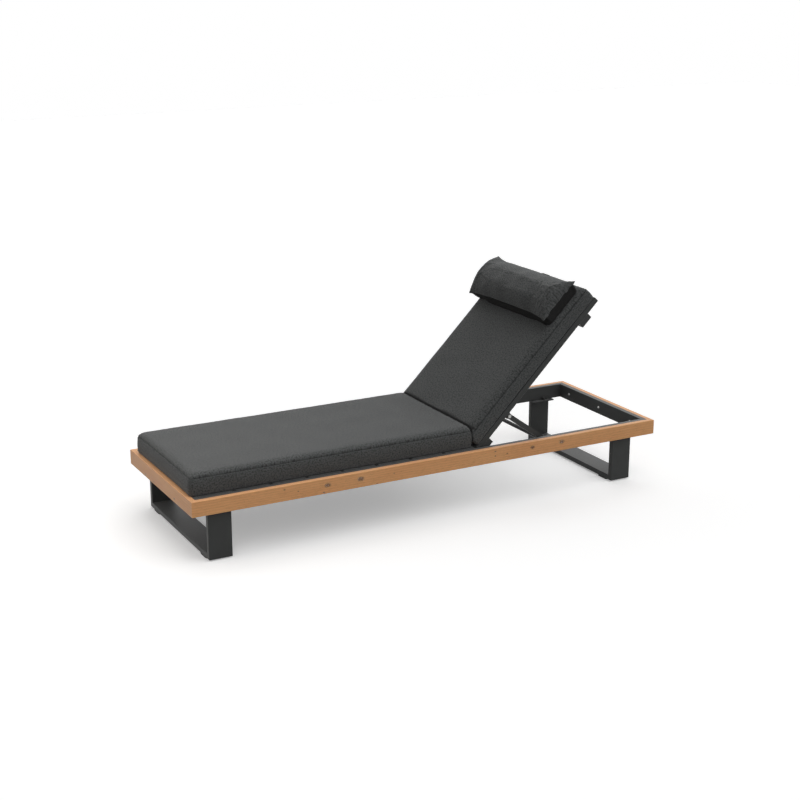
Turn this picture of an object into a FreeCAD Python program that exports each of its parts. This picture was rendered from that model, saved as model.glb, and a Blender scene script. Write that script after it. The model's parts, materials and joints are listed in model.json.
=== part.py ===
import FreeCAD, Part
import math
import os

# Relaxation lounger: wooden rails round an aluminium frame on two sled legs, a slatted
# seat deck, and a hinged backrest held up by a prop that stands in two notched racks.
# Millimetres. X runs from the foot end to the head end, Y to the far side, Z up.
# The origin lies on the floor under the middle of the frame.

# Rails round the bed
FRAME_LENGTH = 2000.0
FRAME_WIDTH = 656.0
FRAME_TOP = 242.0
RAIL_HEIGHT = 58.0
WOOD_THICKNESS = 20.0
RAIL_THICKNESS = 20.0
TUBE_WALL = 2.0
WOOD_EASING = 2.0
TUBE_EASING = 1.5

# Sled legs
LEG_WIDTH = 90.0
LEG_THICKNESS = 20.0
FOOT_LEG_SETBACK = 65.0
HEAD_LEG_SETBACK = 100.0
GLIDE_LENGTH = 55.0
GLIDE_THICKNESS = 5.0
GLIDE_INSET = 35.0
LEG_PLATE_THICKNESS = 4.0
LEG_PLATE_EAR = 15.0
LEG_PLATE_STRIP = 20.0

# Seat deck
SLAT_COUNT = 8
SLAT_GAP = 12.0
SLAT_THICKNESS = 18.0
SLAT_WALL = 1.5
SLAT_END_GAP = 1.0
LEDGE_LEG = 20.0
LEDGE_THICKNESS = 3.0

# Backrest frame
BACKREST_ANGLE = 45.0
BACKREST_LENGTH = 758.0
BACKREST_GAP = 7.0
PANEL_THICKNESS = 22.0
PANEL_RAIL_WIDTH = 30.0
BACKREST_END_GAP = 14.0
HINGE_DECK_GAP = 3.0
BACK_SLAT_COUNT = 5
BACK_SLAT_WIDTH = 84.0
CROSS_BAR_WIDTH = 54.0
CROSS_BAR_DEPTH = 23.0
DRAIN_RADIUS = 3.0
LOWER_BAR_START = 11.0
UPPER_BAR_SETBACK = 65.0

# Prop strut and its racks
STRUT_LENGTH = 261.0
STRUT_PIVOT_REACH = 182.0
STRUT_PIVOT_DROP = 12.0
STRUT_WIDTH = 20.0
STRUT_THICKNESS = 8.0
STRUT_EYE_RADIUS = 12.0
STRUT_FOOT_DROP = 50.0
EAR_THICKNESS = 5.0
EAR_RADIUS = 13.0
PROP_TUBE_RADIUS = 8.0
PROP_TUBE_WALL = 1.5
PROP_CAP_THICKNESS = 2.0
RACK_WEB = 3.0
RACK_LEDGE = 8.5
RACK_LEDGE_HEIGHT = 12.0
RACK_END = 18.0
RACK_TOP_GAP = 16.0
NOTCH_DEPTH = 5.0
NOTCH_RADIUS = 9.5
NOTCH_ANGLES = (0.0, 15.0, 30.0, 45.0, 60.0)
PROP_GLIDE_GAP = 0.5

# Cushions and head pillow
SEAT_CUSHION_START = 14.0
SEAT_CUSHION_SETBACK = 28.0
SEAT_CUSHION_HEIGHT = 68.0
BACK_CUSHION_START = 18.0
BACK_CUSHION_SETBACK = 2.0
BACK_CUSHION_HEIGHT = 59.0
CUSHION_CROWN = 9.0
CUSHION_CORNER = 16.0
CUSHION_BOW = 4.0
CUSHION_FOOT_INSET = 9.0
CUSHION_SEAM_INSET = 5.0
CUSHION_GAP = 2.0
PILLOW_WIDTH = 202.0
PILLOW_THICKNESS = 104.0
PILLOW_SETBACK = 116.0
PILLOW_SEAM = 7.0
PILLOW_WAIST = 10.0
STRAP_WIDTH = 40.0
STRAP_THICKNESS = 2.0
STRAP_TAIL = 60.0

# Fasteners and clearances
SCREW_RADIUS = 2.5
SCREW_HEAD_RADIUS = 5.0
SCREW_HEAD_HEIGHT = 2.8
SCREW_BITE = 13.0
SLAT_SCREW_BITE = 8.0
SCREW_HEAD_SHARE = 0.7
SCREW_COUNT = 6
SCREW_PITCH = 270.0
END_SCREW_COUNT = 3
END_SCREW_PITCH = 220.0
BOLT_RADIUS = 4.0
BOLT_HEAD_RADIUS = 7.0
BOLT_HEAD_HEIGHT = 5.0
NUT_HEIGHT = 6.0
BOLT_BITE = 24.0
HEAD_POCKET_GAP = 1.0
BUFFER_RADIUS = 7.0
BUFFER_WAIST_SHARE = 0.8
BUFFER_PLACE_SHARE = 0.75
FIT_GAP = 0.05
HOLE_GAP = 0.1
FACE_GAP = 0.3
WASHER_GAP = 0.5
OVERRUN = 5.0

# Places worked out from the sizes above
RAIL_BOTTOM = FRAME_TOP - RAIL_HEIGHT
RAIL_MIDDLE = FRAME_TOP - RAIL_HEIGHT / 2
HALF_LENGTH = FRAME_LENGTH / 2
HALF_WIDTH = FRAME_WIDTH / 2
TUBE_HALF_LENGTH = HALF_LENGTH - WOOD_THICKNESS
TUBE_HALF_WIDTH = HALF_WIDTH - WOOD_THICKNESS
WELL_HALF_LENGTH = TUBE_HALF_LENGTH - RAIL_THICKNESS
WELL_HALF_WIDTH = TUBE_HALF_WIDTH - RAIL_THICKNESS
HINGE_X = WELL_HALF_LENGTH - BACKREST_END_GAP - BACKREST_LENGTH
HINGE_Z = FRAME_TOP - PANEL_THICKNESS / 2
PANEL_HALF_WIDTH = WELL_HALF_WIDTH - BACKREST_GAP
PANEL_HALF_DEPTH = PANEL_THICKNESS / 2
UPPER_BAR_START = BACKREST_LENGTH - UPPER_BAR_SETBACK - CROSS_BAR_WIDTH
DECK_END = HINGE_X - PANEL_HALF_DEPTH - HINGE_DECK_GAP
LEDGE_TOP = FRAME_TOP - SLAT_THICKNESS
STRUT_INNER = WELL_HALF_WIDTH - RACK_WEB - RACK_LEDGE - FACE_GAP - WASHER_GAP - STRUT_THICKNESS
STRUT_OUTER = STRUT_INNER + STRUT_THICKNESS
STRUT_PIVOT_N = -PANEL_HALF_DEPTH - STRUT_PIVOT_DROP
STRUT_FOOT_Z = FRAME_TOP - STRUT_FOOT_DROP
SEAT_CUSHION_END = HINGE_X - SEAT_CUSHION_SETBACK
BACK_CUSHION_END = BACKREST_LENGTH - BACK_CUSHION_SETBACK
PILLOW_CENTRE = BACKREST_LENGTH - PILLOW_SETBACK

SIDES = (("near", -1), ("far", 1))


# Solids from flat outlines

def prism(outline, plane, start, depth):
    """A flat outline of (first, second) pairs in the named plane, pushed along its normal."""
    turn = {
        "xy": lambda a, b: FreeCAD.Vector(a, b, start),
        "xz": lambda a, b: FreeCAD.Vector(a, start, b),
        "yz": lambda a, b: FreeCAD.Vector(start, a, b),
    }[plane]
    push = {
        "xy": FreeCAD.Vector(0, 0, depth),
        "xz": FreeCAD.Vector(0, depth, 0),
        "yz": FreeCAD.Vector(depth, 0, 0),
    }[plane]
    points = [turn(a, b) for a, b in outline]
    return Part.Face(Part.makePolygon(points + points[:1])).extrude(push)


def box(x0, x1, y0, y1, z0, z1):
    """A block between two corners, given in any order."""
    corner = FreeCAD.Vector(min(x0, x1), min(y0, y1), min(z0, z1))
    return Part.makeBox(abs(x1 - x0), abs(y1 - y0), abs(z1 - z0), corner)


def cylinder(radius, y0, y1, x, z):
    """A round bar across the bed, from y0 to y1."""
    base = FreeCAD.Vector(x, min(y0, y1), z)
    return Part.makeCylinder(radius, abs(y1 - y0), base, FreeCAD.Vector(0, 1, 0))


def rod(radius, start, end):
    """A round bar from one point to another."""
    a = FreeCAD.Vector(*start)
    b = FreeCAD.Vector(*end)
    return Part.makeCylinder(radius, (b - a).Length, a, b - a)


def group(shapes):
    """Several separate solids kept together as one piece."""
    solids = [solid for shape in shapes for solid in shape.Solids]
    return Part.makeCompound(solids)


def save(name, shape):
    """Write one piece, as a single solid or as a group of solids."""
    solids = shape.Solids
    if len(solids) == 1:
        shape = solids[0]
    shape.exportStep("parts/" + name + ".step")


def long_edges(shape, way):
    """The straight edges of a piece that run along a way."""
    found = []
    for edge in shape.Edges:
        a, b = edge.Vertexes[0].Point, edge.Vertexes[-1].Point
        if (b - a).cross(way).Length < FIT_GAP:
            found.append(edge)
    return found


ALONG = FreeCAD.Vector(1, 0, 0)
ACROSS = FreeCAD.Vector(0, 1, 0)
UPWARD = FreeCAD.Vector(0, 0, 1)


def softened(tube, way):
    """A drawn tube's outside with its long edges rounded."""
    return tube.makeFillet(TUBE_EASING, long_edges(tube, way))


def rail_outline(half_length, half_width, thickness, inset):
    """The long side of a mitred rectangle seen from above, drawn in by an inset."""
    outer = half_width - inset
    inner = half_width - thickness + inset
    outer_end = half_length - inset
    inner_end = half_length - thickness + inset
    return [(-outer_end, outer), (outer_end, outer), (inner_end, inner), (-inner_end, inner)]


def mirror_outline(outline, first, second):
    """The same outline with either coordinate's sign turned."""
    return [(a * first, b * second) for a, b in outline]


def swap_outline(outline):
    """The same outline with its two coordinates exchanged."""
    return [(b, a) for a, b in outline]


# Rails

def rail_shape(half_length, half_width, thickness, inset, z0, z1, place):
    """One of the four mitred bars of a frame: near, far, foot or head."""
    if place in ("near", "far"):
        outline = rail_outline(half_length, half_width, thickness, inset)
        outline = mirror_outline(outline, 1, -1 if place == "near" else 1)
    else:
        outline = swap_outline(rail_outline(half_width, half_length, thickness, inset))
        outline = mirror_outline(outline, -1 if place == "foot" else 1, 1)
    return prism(outline, "xy", z0, z1 - z0)


def outward(place):
    """The direction in which a rail faces away from the bed."""
    return {
        "near": FreeCAD.Vector(0, -1, 0),
        "far": FreeCAD.Vector(0, 1, 0),
        "foot": FreeCAD.Vector(-1, 0, 0),
        "head": FreeCAD.Vector(1, 0, 0),
    }[place]


def run_of(place):
    """The direction in which a rail runs."""
    return ALONG if place in ("near", "far") else ACROSS


def spread(count, pitch):
    """Evenly pitched places on both sides of zero."""
    return [(step - (count - 1) / 2) * pitch for step in range(count)]


def screw_places(place):
    """Where the screws stand along a rail, and whether a deck ledge lies under their heads."""
    if place in ("near", "far"):
        places = spread(SCREW_COUNT, SCREW_PITCH)
        return [(along, along < DECK_END) for along in places]
    return [(along, False) for along in spread(END_SCREW_COUNT, END_SCREW_PITCH)]


def screw_line(place, along, seat):
    """The point under a screw's head and the direction in which it is driven."""
    way = outward(place)
    if place in ("near", "far"):
        start = FreeCAD.Vector(along, way.y * (WELL_HALF_WIDTH - seat), RAIL_MIDDLE)
    else:
        start = FreeCAD.Vector(way.x * (WELL_HALF_LENGTH - seat), along, RAIL_MIDDLE)
    return start, way


def frame_screw(place, along, on_ledge, gap):
    """A screw from inside the tube into the wood; with a gap it is the hole that takes it."""
    seat = LEDGE_THICKNESS if on_ledge else 0
    start, way = screw_line(place, along, seat)
    shank = seat + RAIL_THICKNESS + SCREW_BITE + gap
    body = Part.makeCylinder(SCREW_RADIUS + gap, shank, start, way)
    if gap:
        return body
    rim = SCREW_HEAD_RADIUS * SCREW_HEAD_SHARE
    head = Part.makeCone(SCREW_HEAD_RADIUS, rim, SCREW_HEAD_HEIGHT, start, way * -1)
    return body.fuse(head).removeSplitter()


def screw_holes(place):
    """All the holes for the screws of one rail."""
    return [frame_screw(place, along, on_ledge, HOLE_GAP) for along, on_ledge in screw_places(place)]


def hinge_bolt(side, shank_gap, head_gap):
    """A hinge bolt with its head in the wood; with gaps it is the bolt's hole and head pocket."""
    face = side * TUBE_HALF_WIDTH
    head_end = face + side * (BOLT_HEAD_HEIGHT + head_gap)
    tip = side * (PANEL_HALF_WIDTH - BOLT_BITE)
    head = cylinder(BOLT_HEAD_RADIUS + head_gap, face, head_end, HINGE_X, HINGE_Z)
    shank = cylinder(BOLT_RADIUS + shank_gap, face, tip, HINGE_X, HINGE_Z)
    return head.fuse(shank).removeSplitter()


def wood_rail(place):
    """A mitred hardwood rail with eased long edges, and blind holes for its fasteners."""
    rail = rail_shape(HALF_LENGTH, HALF_WIDTH, WOOD_THICKNESS, 0, RAIL_BOTTOM, FRAME_TOP, place)
    way = outward(place)
    face = (HALF_WIDTH if way.y else HALF_LENGTH) - FIT_GAP
    edges = long_edges(rail, run_of(place))
    rail = rail.makeFillet(WOOD_EASING, [edge for edge in edges if edge.Vertexes[0].Point.dot(way) > face])
    cuts = screw_holes(place)
    if place in ("near", "far"):
        cuts.append(hinge_bolt(outward(place).y, HOLE_GAP, HEAD_POCKET_GAP))
    return rail.cut(cuts)


def frame_rail(place):
    """A mitred rectangular aluminium tube of the frame, with its screw and bolt holes."""
    sizes = (TUBE_HALF_LENGTH, TUBE_HALF_WIDTH, RAIL_THICKNESS)
    outer = softened(rail_shape(*sizes, 0, RAIL_BOTTOM, FRAME_TOP, place), run_of(place))
    inner = rail_shape(*sizes, TUBE_WALL, RAIL_BOTTOM + TUBE_WALL, FRAME_TOP - TUBE_WALL, place)
    cuts = [inner] + screw_holes(place)
    if place in ("near", "far"):
        side = outward(place).y
        cuts.append(hinge_bolt(side, HOLE_GAP, HEAD_POCKET_GAP))
        cuts += [rack_screw(side, x, HOLE_GAP) for x in rack_screw_places()]
        cuts += [leg_bolt(leg, side, HOLE_GAP) for leg in LEGS]
    return outer.cut(cuts)


# Sled legs

LEGS = ("foot", "head")


def leg_span(leg):
    """The two X places between which a leg's flat tube lies."""
    if leg == "foot":
        start = -HALF_LENGTH + FOOT_LEG_SETBACK
    else:
        start = HALF_LENGTH - HEAD_LEG_SETBACK - LEG_WIDTH
    return start, start + LEG_WIDTH


def leg_tube(leg, outline_outer, outline_inner, way):
    """A flat tube of a sled leg from its outline across the bed and the outline of its bore."""
    start, end = leg_span(leg)
    outer = softened(prism(outline_outer, "yz", start, end - start), way)
    inner = prism(outline_inner, "yz", start + TUBE_WALL, end - start - 2 * TUBE_WALL)
    return outer.cut(inner)


def upright_outline(side, inset):
    """A leg's upright seen along the bed, mitred at its lower end."""
    outer = TUBE_HALF_WIDTH - inset
    inner = TUBE_HALF_WIDTH - LEG_THICKNESS + inset
    low = GLIDE_THICKNESS
    top = RAIL_BOTTOM - LEG_PLATE_THICKNESS
    outline = [(outer, low + inset), (outer, top), (inner, top), (inner, low + LEG_THICKNESS - inset)]
    return mirror_outline(outline, side, 1)


def leg_upright(leg, side):
    """An upright of a sled leg."""
    return leg_tube(leg, upright_outline(side, 0), upright_outline(side, TUBE_WALL), UPWARD)


def bar_outline(inset):
    """A leg's floor bar seen along the bed, mitred at both ends."""
    outer = TUBE_HALF_WIDTH - inset
    inner = TUBE_HALF_WIDTH - LEG_THICKNESS + inset
    low = GLIDE_THICKNESS + inset
    high = GLIDE_THICKNESS + LEG_THICKNESS - inset
    return [(-outer, low), (outer, low), (inner, high), (-inner, high)]


def leg_bar(leg):
    """The floor bar of a sled leg."""
    return leg_tube(leg, bar_outline(0), bar_outline(TUBE_WALL), ACROSS)


def plate_span(leg):
    """The two X places of a leg's top plate, whose ear points to the nearer bed end."""
    start, end = leg_span(leg)
    if leg == "foot":
        return start - LEG_PLATE_EAR, end
    return start, end + LEG_PLATE_EAR


def ear_middle(leg):
    """The X place of the bolt in a leg plate's ear."""
    start, end = leg_span(leg)
    if leg == "foot":
        return start - LEG_PLATE_EAR / 2
    return end + LEG_PLATE_EAR / 2


def leg_bolt(leg, side, gap):
    """The bolt up through a leg plate's ear into the rail; with a gap it is its hole."""
    x = ear_middle(leg)
    y = side * (TUBE_HALF_WIDTH - RAIL_THICKNESS / 2)
    low = RAIL_BOTTOM - LEG_PLATE_THICKNESS
    shank = rod(SCREW_RADIUS + gap, (x, y, low), (x, y, RAIL_BOTTOM + SLAT_SCREW_BITE + gap))
    if gap:
        return shank
    head = rod(SCREW_HEAD_RADIUS, (x, y, low - SCREW_HEAD_HEIGHT), (x, y, low))
    return shank.fuse(head).removeSplitter()


def leg_plate(leg, side):
    """The flat plate on top of an upright, with its ear and inner strip."""
    start, end = plate_span(leg)
    inner = side * (TUBE_HALF_WIDTH - LEG_THICKNESS - LEG_PLATE_STRIP)
    low = RAIL_BOTTOM - LEG_PLATE_THICKNESS
    plate = box(start, end, inner, side * TUBE_HALF_WIDTH, low, RAIL_BOTTOM)
    corners = [edge for edge in long_edges(plate, UPWARD) if abs(edge.Vertexes[0].Y) < WELL_HALF_WIDTH]
    plate = plate.makeFillet(LEG_PLATE_THICKNESS, corners)
    return plate.cut(leg_bolt(leg, side, HOLE_GAP))


def foot_glides():
    """The four soft pads that the sled legs stand on."""
    glides = []
    for leg in LEGS:
        start, end = leg_span(leg)
        for name, side in SIDES:
            outer = side * (TUBE_HALF_WIDTH - GLIDE_INSET)
            inner = side * (TUBE_HALF_WIDTH - GLIDE_INSET - GLIDE_LENGTH)
            pad = box(start, end, outer, inner, 0, GLIDE_THICKNESS)
            glides.append(pad.makeFillet(GLIDE_THICKNESS, long_edges(pad, UPWARD)))
    return group(glides)


def buffer_place():
    """The X place of the buffers on which the lowered backrest's upper cross bar rests."""
    return HINGE_X + UPPER_BAR_START + CROSS_BAR_WIDTH * BUFFER_PLACE_SHARE


def rest_buffers():
    """The two round buffers on the inner strips of the head-end leg plates."""
    top = HINGE_Z - PANEL_HALF_DEPTH - CROSS_BAR_DEPTH - FACE_GAP
    reach = TUBE_HALF_WIDTH - LEG_THICKNESS - LEG_PLATE_STRIP / 2
    buffers = []
    for name, side in SIDES:
        y = side * reach
        x = buffer_place()
        waist = BUFFER_RADIUS * BUFFER_WAIST_SHARE
        middle = (RAIL_BOTTOM + top) / 2
        low = Part.makeCone(BUFFER_RADIUS, waist, middle - RAIL_BOTTOM, FreeCAD.Vector(x, y, RAIL_BOTTOM))
        high = Part.makeCone(waist, BUFFER_RADIUS, top - middle, FreeCAD.Vector(x, y, middle))
        buffers.append(low.fuse(high))
    return group(buffers)


# Seat deck

def slat_span(index):
    """The two X places of one deck slat; the slats share the deck's length with equal gaps."""
    first = -WELL_HALF_LENGTH + SLAT_END_GAP
    pitch = (DECK_END + SLAT_GAP - first) / SLAT_COUNT
    start = first + index * pitch
    return start, start + pitch - SLAT_GAP


def flat_tube(x0, x1, y0, y1, z0, z1, wall):
    """A flat tube open at both Y ends, with softened long edges."""
    bar = box(x0, x1, y0, y1, z0, z1)
    bar = softened(bar, ACROSS)
    bore = box(x0 + wall, x1 - wall, y0 - OVERRUN, y1 + OVERRUN, z0 + wall, z1 - wall)
    return bar.cut(bore)


def slat_screw(index, side, gap):
    """A screw up through a ledge into a slat; with a gap it is its hole."""
    start, end = slat_span(index)
    x = (start + end) / 2
    y = side * (WELL_HALF_WIDTH - (LEDGE_THICKNESS + LEDGE_LEG) / 2)
    seat = LEDGE_TOP - LEDGE_THICKNESS
    shank = rod(SCREW_RADIUS + gap, (x, y, seat), (x, y, LEDGE_TOP + SLAT_SCREW_BITE + gap))
    if gap:
        return shank
    head = rod(SCREW_HEAD_RADIUS, (x, y, seat - SCREW_HEAD_HEIGHT), (x, y, seat))
    return shank.fuse(head).removeSplitter()


def deck_slat(index):
    """One slat of the seat deck, flush with the top of the rails."""
    start, end = slat_span(index)
    reach = WELL_HALF_WIDTH - SLAT_END_GAP
    slat = flat_tube(start, end, -reach, reach, LEDGE_TOP, FRAME_TOP, SLAT_WALL)
    return slat.cut([slat_screw(index, side, HOLE_GAP) for name, side in SIDES])


def deck_ledge(place, side):
    """The angle strip along a rail that carries the slats' ends."""
    face = side * WELL_HALF_WIDTH
    web = side * (WELL_HALF_WIDTH - LEDGE_THICKNESS)
    tip = side * (WELL_HALF_WIDTH - LEDGE_LEG)
    start = -WELL_HALF_LENGTH + SLAT_END_GAP
    end = DECK_END - SLAT_END_GAP
    upright = box(start, end, face, web, LEDGE_TOP - LEDGE_LEG, LEDGE_TOP)
    flat = box(start, end, face, tip, LEDGE_TOP - LEDGE_THICKNESS, LEDGE_TOP)
    cuts = screw_holes(place)
    cuts += [slat_screw(index, side, HOLE_GAP) for index in range(SLAT_COUNT)]
    return upright.fuse(flat).removeSplitter().cut(cuts)


# Backrest, drawn lying flat with its hinge axis at the origin and then raised

def raised(shape):
    """Lift a piece drawn on the flat backrest to where the backrest stands at rest."""
    shape = shape.copy()
    shape.rotate(FreeCAD.Vector(0, 0, 0), FreeCAD.Vector(0, 1, 0), -BACKREST_ANGLE)
    shape.translate(FreeCAD.Vector(HINGE_X, 0, HINGE_Z))
    return shape


def panel_side(side):
    """A side tube of the backrest frame, mitred at the top and hollowed for the hinge tube."""
    outer = PANEL_HALF_WIDTH
    inner = PANEL_HALF_WIDTH - PANEL_RAIL_WIDTH
    end = BACKREST_LENGTH
    outline = [(0, outer), (end, outer), (end - PANEL_RAIL_WIDTH, inner), (0, inner)]
    wall = TUBE_WALL
    bore = [(-OVERRUN, outer - wall), (end - wall, outer - wall),
            (end - PANEL_RAIL_WIDTH + wall, inner + wall), (-OVERRUN, inner + wall)]
    tube = prism(mirror_outline(outline, 1, side), "xy", -PANEL_HALF_DEPTH, PANEL_THICKNESS)
    tube = softened(tube, ALONG)
    hollow = prism(mirror_outline(bore, 1, side), "xy", wall - PANEL_HALF_DEPTH, PANEL_THICKNESS - 2 * wall)
    saddle = cylinder(PANEL_HALF_DEPTH + FIT_GAP, -HALF_WIDTH, HALF_WIDTH, 0, 0)
    return tube.cut([hollow, saddle])


def panel_top():
    """The top tube of the backrest frame, mitred at both ends."""
    wall = TUBE_WALL

    def outline(inset):
        outer = PANEL_HALF_WIDTH - inset
        inner = PANEL_HALF_WIDTH - PANEL_RAIL_WIDTH + inset
        end = BACKREST_LENGTH - inset
        low = BACKREST_LENGTH - PANEL_RAIL_WIDTH + inset
        return [(end, -outer), (end, outer), (low, inner), (low, -inner)]

    tube = softened(prism(outline(0), "xy", -PANEL_HALF_DEPTH, PANEL_THICKNESS), ACROSS)
    hollow = prism(outline(wall), "xy", wall - PANEL_HALF_DEPTH, PANEL_THICKNESS - 2 * wall)
    return tube.cut(hollow)


def hinge_tube():
    """The round tube at the backrest's lower edge, through which the hinge axis runs."""
    outer = cylinder(PANEL_HALF_DEPTH, -PANEL_HALF_WIDTH, PANEL_HALF_WIDTH, 0, 0)
    bore = cylinder(PANEL_HALF_DEPTH - TUBE_WALL, -HALF_WIDTH, HALF_WIDTH, 0, 0)
    return outer.cut(bore)


def hinge_bush(side):
    """A flanged bush in the end of the hinge tube."""
    flange_start = side * (WELL_HALF_WIDTH - FACE_GAP)
    face = side * PANEL_HALF_WIDTH
    tail = side * (PANEL_HALF_WIDTH - BOLT_BITE)
    flange = cylinder(PANEL_HALF_DEPTH, flange_start, face, 0, 0)
    sleeve = cylinder(PANEL_HALF_DEPTH - TUBE_WALL - FIT_GAP, face, tail, 0, 0)
    bore = cylinder(BOLT_RADIUS + FIT_GAP, -HALF_WIDTH, HALF_WIDTH, 0, 0)
    return flange.fuse(sleeve).cut(bore)


def back_slat_span(index):
    """The places along the backrest of one slat, shared evenly between its ends."""
    room = BACKREST_LENGTH - PANEL_RAIL_WIDTH - PANEL_HALF_DEPTH
    gap = (room - BACK_SLAT_COUNT * BACK_SLAT_WIDTH) / (BACK_SLAT_COUNT + 1)
    start = PANEL_HALF_DEPTH + gap + index * (BACK_SLAT_WIDTH + gap)
    return start, start + BACK_SLAT_WIDTH


def back_slat(index):
    """One slat of the backrest, flush with the front of its frame."""
    start, end = back_slat_span(index)
    reach = PANEL_HALF_WIDTH - PANEL_RAIL_WIDTH
    low = PANEL_HALF_DEPTH - SLAT_THICKNESS
    return flat_tube(start, end, -reach, reach, low, PANEL_HALF_DEPTH, SLAT_WALL)


def cross_bar(start):
    """A flat tube across the back of the backrest frame, closed at its ends and drained behind."""
    wall = TUBE_WALL
    end = start + CROSS_BAR_WIDTH
    low = -PANEL_HALF_DEPTH - CROSS_BAR_DEPTH
    reach = PANEL_HALF_WIDTH
    bar = softened(box(start, end, -reach, reach, low, -PANEL_HALF_DEPTH), ACROSS)
    hollow = box(start + wall, end - wall, wall - reach, reach - wall, low + wall, -PANEL_HALF_DEPTH - wall)
    middle = (start + end) / 2
    drains = [
        rod(DRAIN_RADIUS, (middle, side * reach / 2, low), (middle, side * reach / 2, low + 2 * wall))
        for name, side in SIDES
    ]
    return bar.cut([hollow] + drains)


# Prop strut

def ear_span(side):
    """The two Y places of the ear that carries one strut arm."""
    outer = STRUT_INNER - WASHER_GAP
    return side * outer, side * (outer - EAR_THICKNESS)


def strut_ears():
    """The two plates under the backrest frame that carry the strut's pivots."""
    ears = []
    for name, side in SIDES:
        y0, y1 = ear_span(side)
        low = STRUT_PIVOT_N
        reach = STRUT_PIVOT_REACH
        plate = box(reach - EAR_RADIUS, reach + EAR_RADIUS, y0, y1, low, -PANEL_HALF_DEPTH)
        boss = cylinder(EAR_RADIUS, y0, y1, reach, low)
        trim = box(reach - EAR_RADIUS, reach + EAR_RADIUS, y0, y1, -PANEL_HALF_DEPTH, PANEL_HALF_DEPTH)
        hole = cylinder(BOLT_RADIUS + HOLE_GAP, -HALF_WIDTH, HALF_WIDTH, reach, low)
        ears.append(plate.fuse(boss).cut([hole, trim]))
    return group(ears)


def strut_bolts():
    """The two pivot bolts of the strut with their nuts."""
    bolts = []
    for name, side in SIDES:
        arm_face = side * (STRUT_OUTER + FACE_GAP)
        head_end = side * (STRUT_OUTER + FACE_GAP + BOLT_HEAD_HEIGHT)
        nut_start = ear_span(side)[1]
        nut_end = nut_start - side * NUT_HEIGHT
        reach, low = STRUT_PIVOT_REACH, STRUT_PIVOT_N
        head = cylinder(BOLT_HEAD_RADIUS, arm_face, head_end, reach, low)
        shank = cylinder(BOLT_RADIUS, arm_face, nut_end, reach, low)
        nut = hexagon_nut(side, nut_start, nut_end, reach, low)
        bolts.append(head.fuse([shank, nut]).removeSplitter())
    return group(bolts)


def hexagon_nut(side, y0, y1, x, z):
    """A six-sided nut across the bed."""
    corners = [math.radians(60 * step) for step in range(6)]
    outline = [(x + BOLT_HEAD_RADIUS * math.cos(a), z + BOLT_HEAD_RADIUS * math.sin(a)) for a in corners]
    return prism(outline, "xz", y0, y1 - y0)


def pivot_place(angle):
    """The strut pivot's X and Z when the backrest stands at an angle above flat."""
    turn = math.radians(angle)
    x = HINGE_X + STRUT_PIVOT_REACH * math.cos(turn) - STRUT_PIVOT_N * math.sin(turn)
    z = HINGE_Z + STRUT_PIVOT_REACH * math.sin(turn) + STRUT_PIVOT_N * math.cos(turn)
    return x, z


def standing_slope(angle):
    """How far below level the strut points, in degrees, when its foot is at the racks' height."""
    x, z = pivot_place(angle)
    return math.degrees(math.asin((z - STRUT_FOOT_Z) / STRUT_LENGTH))


def strut_slope(angle):
    """The strut's slope when it swings steadily with the backrest, from flat to its rest angle."""
    flat, rest = standing_slope(0), standing_slope(BACKREST_ANGLE)
    return flat + (rest - flat) * angle / BACKREST_ANGLE


def strut_ratio():
    """Degrees that the strut turns against the backrest for each degree that the backrest rises."""
    return -1 - (strut_slope(BACKREST_ANGLE) - strut_slope(0)) / BACKREST_ANGLE


def foot_place(angle):
    """The X and Z of the cross tube's axis when the backrest stands at an angle."""
    x, z = pivot_place(angle)
    slope = math.radians(strut_slope(angle))
    return x + STRUT_LENGTH * math.cos(slope), z - STRUT_LENGTH * math.sin(slope)


def propped(shape):
    """Place a piece drawn along +X from the strut's pivot where the strut stands at rest."""
    x, z = pivot_place(BACKREST_ANGLE)
    shape = shape.copy()
    shape.rotate(FreeCAD.Vector(0, 0, 0), FreeCAD.Vector(0, 1, 0), strut_slope(BACKREST_ANGLE))
    shape.translate(FreeCAD.Vector(x, 0, z))
    return shape


def strut_arm(side):
    """A flat bar from the pivot to the cross tube, rounded at both ends."""
    y0, y1 = side * STRUT_INNER, side * STRUT_OUTER
    bar = box(0, STRUT_LENGTH, y0, y1, -STRUT_WIDTH / 2, STRUT_WIDTH / 2)
    top_end = cylinder(STRUT_WIDTH / 2, y0, y1, 0, 0)
    foot_end = cylinder(STRUT_EYE_RADIUS, y0, y1, STRUT_LENGTH, 0)
    pivot = cylinder(BOLT_RADIUS + FIT_GAP, -HALF_WIDTH, HALF_WIDTH, 0, 0)
    seat = cylinder(PROP_TUBE_RADIUS + FIT_GAP, -HALF_WIDTH, HALF_WIDTH, STRUT_LENGTH, 0)
    return bar.fuse([top_end, foot_end]).removeSplitter().cut([pivot, seat])


def prop_reach():
    """How far the cross tube reaches to each side."""
    return WELL_HALF_WIDTH - RACK_WEB - WASHER_GAP - PROP_CAP_THICKNESS


def prop_tube():
    """The round tube across the foot of the strut."""
    reach = prop_reach()
    tube = cylinder(PROP_TUBE_RADIUS, -reach, reach, STRUT_LENGTH, 0)
    bore = cylinder(PROP_TUBE_RADIUS - PROP_TUBE_WALL, -HALF_WIDTH, HALF_WIDTH, STRUT_LENGTH, 0)
    return tube.cut(bore)


def prop_caps():
    """The two plugs that close the cross tube."""
    caps = []
    for name, side in SIDES:
        face = side * prop_reach()
        end = face + side * PROP_CAP_THICKNESS
        tail = face - side * PROP_TUBE_RADIUS
        dome = cylinder(PROP_TUBE_RADIUS, face, end, STRUT_LENGTH, 0)
        plug = cylinder(PROP_TUBE_RADIUS - PROP_TUBE_WALL - FIT_GAP, face, tail, STRUT_LENGTH, 0)
        caps.append(dome.fuse(plug))
    return group(caps)


# Racks

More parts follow.
